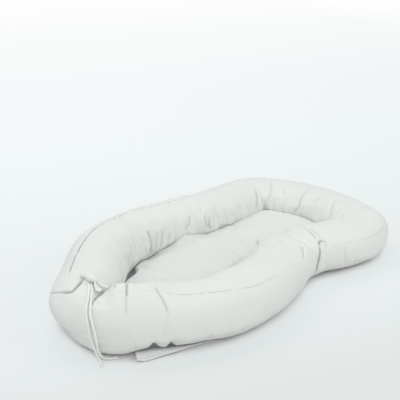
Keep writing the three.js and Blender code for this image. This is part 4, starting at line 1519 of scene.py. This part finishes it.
class LOUNGER_OT_stage(bpy.types.Operator):
    """Make the pale floor, the soft light and the camera"""

    bl_idname = "lounger.stage"
    bl_label = "Stage"

    def execute(self, context):
        scene = context.scene
        stage = scene.lounger_stage
        scene.view_settings.view_transform = "Standard"
        self.floor(stage)
        self.light(scene, stage)
        data = bpy.data.cameras.new("camera")
        data.sensor_width = 36
        data.lens = stage.lens
        camera = bpy.data.objects.new("camera", data)
        camera.location = stage.place
        camera.rotation_euler = (math.pi / 2 - stage.pitch, 0, -stage.yaw)
        scene.collection.objects.link(camera)
        scene.camera = camera
        return {"FINISHED"}

    def floor(self, stage):
        size, depth = 60.0, -0.0002
        mesh = bpy.data.meshes.new("floor")
        corners = [(x * size, y * size, depth) for x, y in ((-1, -1), (1, -1), (1, 1), (-1, 1))]
        mesh.from_pydata(corners, [], [[0, 1, 2, 3]])
        mesh.materials.append(self.floor_material(stage))
        floor = bpy.data.objects.new("floor", mesh)
        bpy.context.scene.collection.objects.link(floor)

    def floor_material(self, stage):
        """Pale paper that lights as it is, and shows a plain soft tone that keeps the shadow; that
        tone is painted light, darker close by and brighter further ahead.
        """
        material, nodes, links, shader = new_material(
            "floor_paper",
            {"Base Color": (0.8, 0.8, 0.8, 1), "Roughness": 0.9, "Specular IOR Level": 0.1})
        place = nodes.new("ShaderNodeTexCoord")
        ahead = add_node(nodes, "ShaderNodeVectorMath", operation="DOT_PRODUCT")
        turned = stage.yaw - 0.3
        ahead.inputs[1].default_value = (math.sin(turned), math.cos(turned), 0)
        away = add_node(nodes, "ShaderNodeVectorMath", operation="LENGTH")
        for node in (ahead, away):
            links.new(place.outputs["Object"], node.inputs[0])
        far = math_node(nodes, links, "MULTIPLY_ADD", away.outputs["Value"], 1.6, -2.4)
        reach = math_node(nodes, links, "MAXIMUM", ahead.outputs["Value"], far)
        low, high = FLOOR_TONES[0][0], FLOOR_TONES[-1][0]
        at = add_node(nodes, "ShaderNodeMapRange", {"From Min": low, "From Max": high})
        links.new(reach, at.inputs["Value"])
        tone, plain = nodes.new("ShaderNodeValToRGB"), nodes.new("ShaderNodeValToRGB")
        for ramp, column in ((tone, 1), (plain, 2)):
            elements = ramp.color_ramp.elements
            for k, row in enumerate(FLOOR_TONES):
                share = (row[0] - low) / (high - low)
                element = elements[0] if k == 0 else elements[-1] if row is FLOOR_TONES[-1] \
                    else elements.new(share)
                element.color = (*row[1], 1) if column == 1 else (*[row[2]] * 3, 1)
            links.new(at.outputs[0], ramp.inputs[0])
        # painted light: the plain tone glows, darker close by and brighter further ahead
        shown = nodes.new("ShaderNodeEmission")
        links.new(tone.outputs[0], shown.inputs["Color"])
        # close under the cloth the paper shows its own deep shade
        close = add_node(nodes, "ShaderNodeAmbientOcclusion", {"Distance": 0.03}, samples=8)
        clear = add_node(nodes, "ShaderNodeMapRange", {"From Min": 0.2, "From Max": 0.65},
                         interpolation_type="SMOOTHSTEP")
        links.new(close.outputs["AO"], clear.inputs["Value"])
        share = math_node(nodes, links, "MULTIPLY", seen_directly(nodes, links), plain.outputs[0])
        share = math_node(nodes, links, "MULTIPLY", share, clear.outputs[0])
        mix = nodes.new("ShaderNodeMixShader")
        for socket, value in zip(mix.inputs, (share, shader.outputs[0], shown.outputs[0])):
            links.new(value, socket)
        links.new(mix.outputs[0], nodes["Material Output"].inputs["Surface"])
        return material

    def light(self, scene, stage):
        """Soft light from all round, plain white where it is seen, and the soft lamps."""
        world = bpy.data.worlds.new("studio")
        world.use_nodes = True
        nodes, links = world.node_tree.nodes, world.node_tree.links
        soft = nodes["Background"]
        soft.inputs["Color"].default_value = (0.985, 0.995, 1.0, 1)
        soft.inputs["Strength"].default_value = stage.sky
        white = add_node(nodes, "ShaderNodeBackground", {"Color": (1, 1, 1, 1), "Strength": 1})
        mix = nodes.new("ShaderNodeMixShader")
        seen = seen_directly(nodes, links)
        for socket, value in zip(mix.inputs, (seen, soft.outputs[0], white.outputs[0])):
            links.new(value, socket)
        links.new(mix.outputs[0], nodes["World Output"].inputs["Surface"])
        scene.world = world
        for index, (place, size, share) in enumerate(LAMPS):
            data = bpy.data.lights.new(f"lamp_{index}", "AREA")
            data.shape = "DISK"
            data.size = size
            data.energy = stage.lamps * share
            lamp = bpy.data.objects.new(f"lamp_{index}", data)
            lamp.location = place
            lamp.rotation_euler = (-lamp.location).to_track_quat("-Z", "Y").to_euler()
            scene.collection.objects.link(lamp)


def seen_directly(nodes, links):
    """One for rays from the camera, and in gloss and glass, and nothing for the light."""
    path = nodes.new("ShaderNodeLightPath")
    seen = path.outputs["Is Camera Ray"]
    for label in ("Is Glossy Ray", "Is Transmission Ray"):
        seen = math_node(nodes, links, "MAXIMUM", seen, path.outputs[label])
    return seen


class LOUNGER_PT_panel(bpy.types.Panel):
    """Lists the pieces and their settings"""

    bl_label = "Infant Lounger"
    bl_idname = "LOUNGER_PT_panel"
    bl_space_type = "VIEW_3D"
    bl_region_type = "UI"
    bl_category = "Lounger"

    def draw(self, context):
        for operator in OPERATORS:
            self.layout.operator(operator.bl_idname)
        for name, group in GROUPS.items():
            box = self.layout.box()
            for prop in group.__annotations__:
                box.prop(getattr(context.scene, name), prop)


OPERATORS = (LOUNGER_OT_stage, LOUNGER_OT_tie, LOUNGER_OT_roll, LOUNGER_OT_mattress,
             LOUNGER_OT_base, LOUNGER_OT_mouths)
CLASSES = (*GROUPS.values(), *OPERATORS, LOUNGER_PT_panel)


def register():
    for cls in CLASSES:
        bpy.utils.register_class(cls)
    for name, group in GROUPS.items():
        setattr(bpy.types.Scene, name, PointerProperty(type=group))


def unregister():
    for name in GROUPS:
        delattr(bpy.types.Scene, name)
    for cls in reversed(CLASSES):
        bpy.utils.unregister_class(cls)


def main():
    register()
    bpy.ops.lounger.stage()
    bpy.ops.lounger.tie()
    bpy.ops.lounger.roll()
    bpy.ops.lounger.mattress()
    bpy.ops.lounger.base()
    bpy.ops.lounger.mouths()


if __name__ == "__main__":
    main()
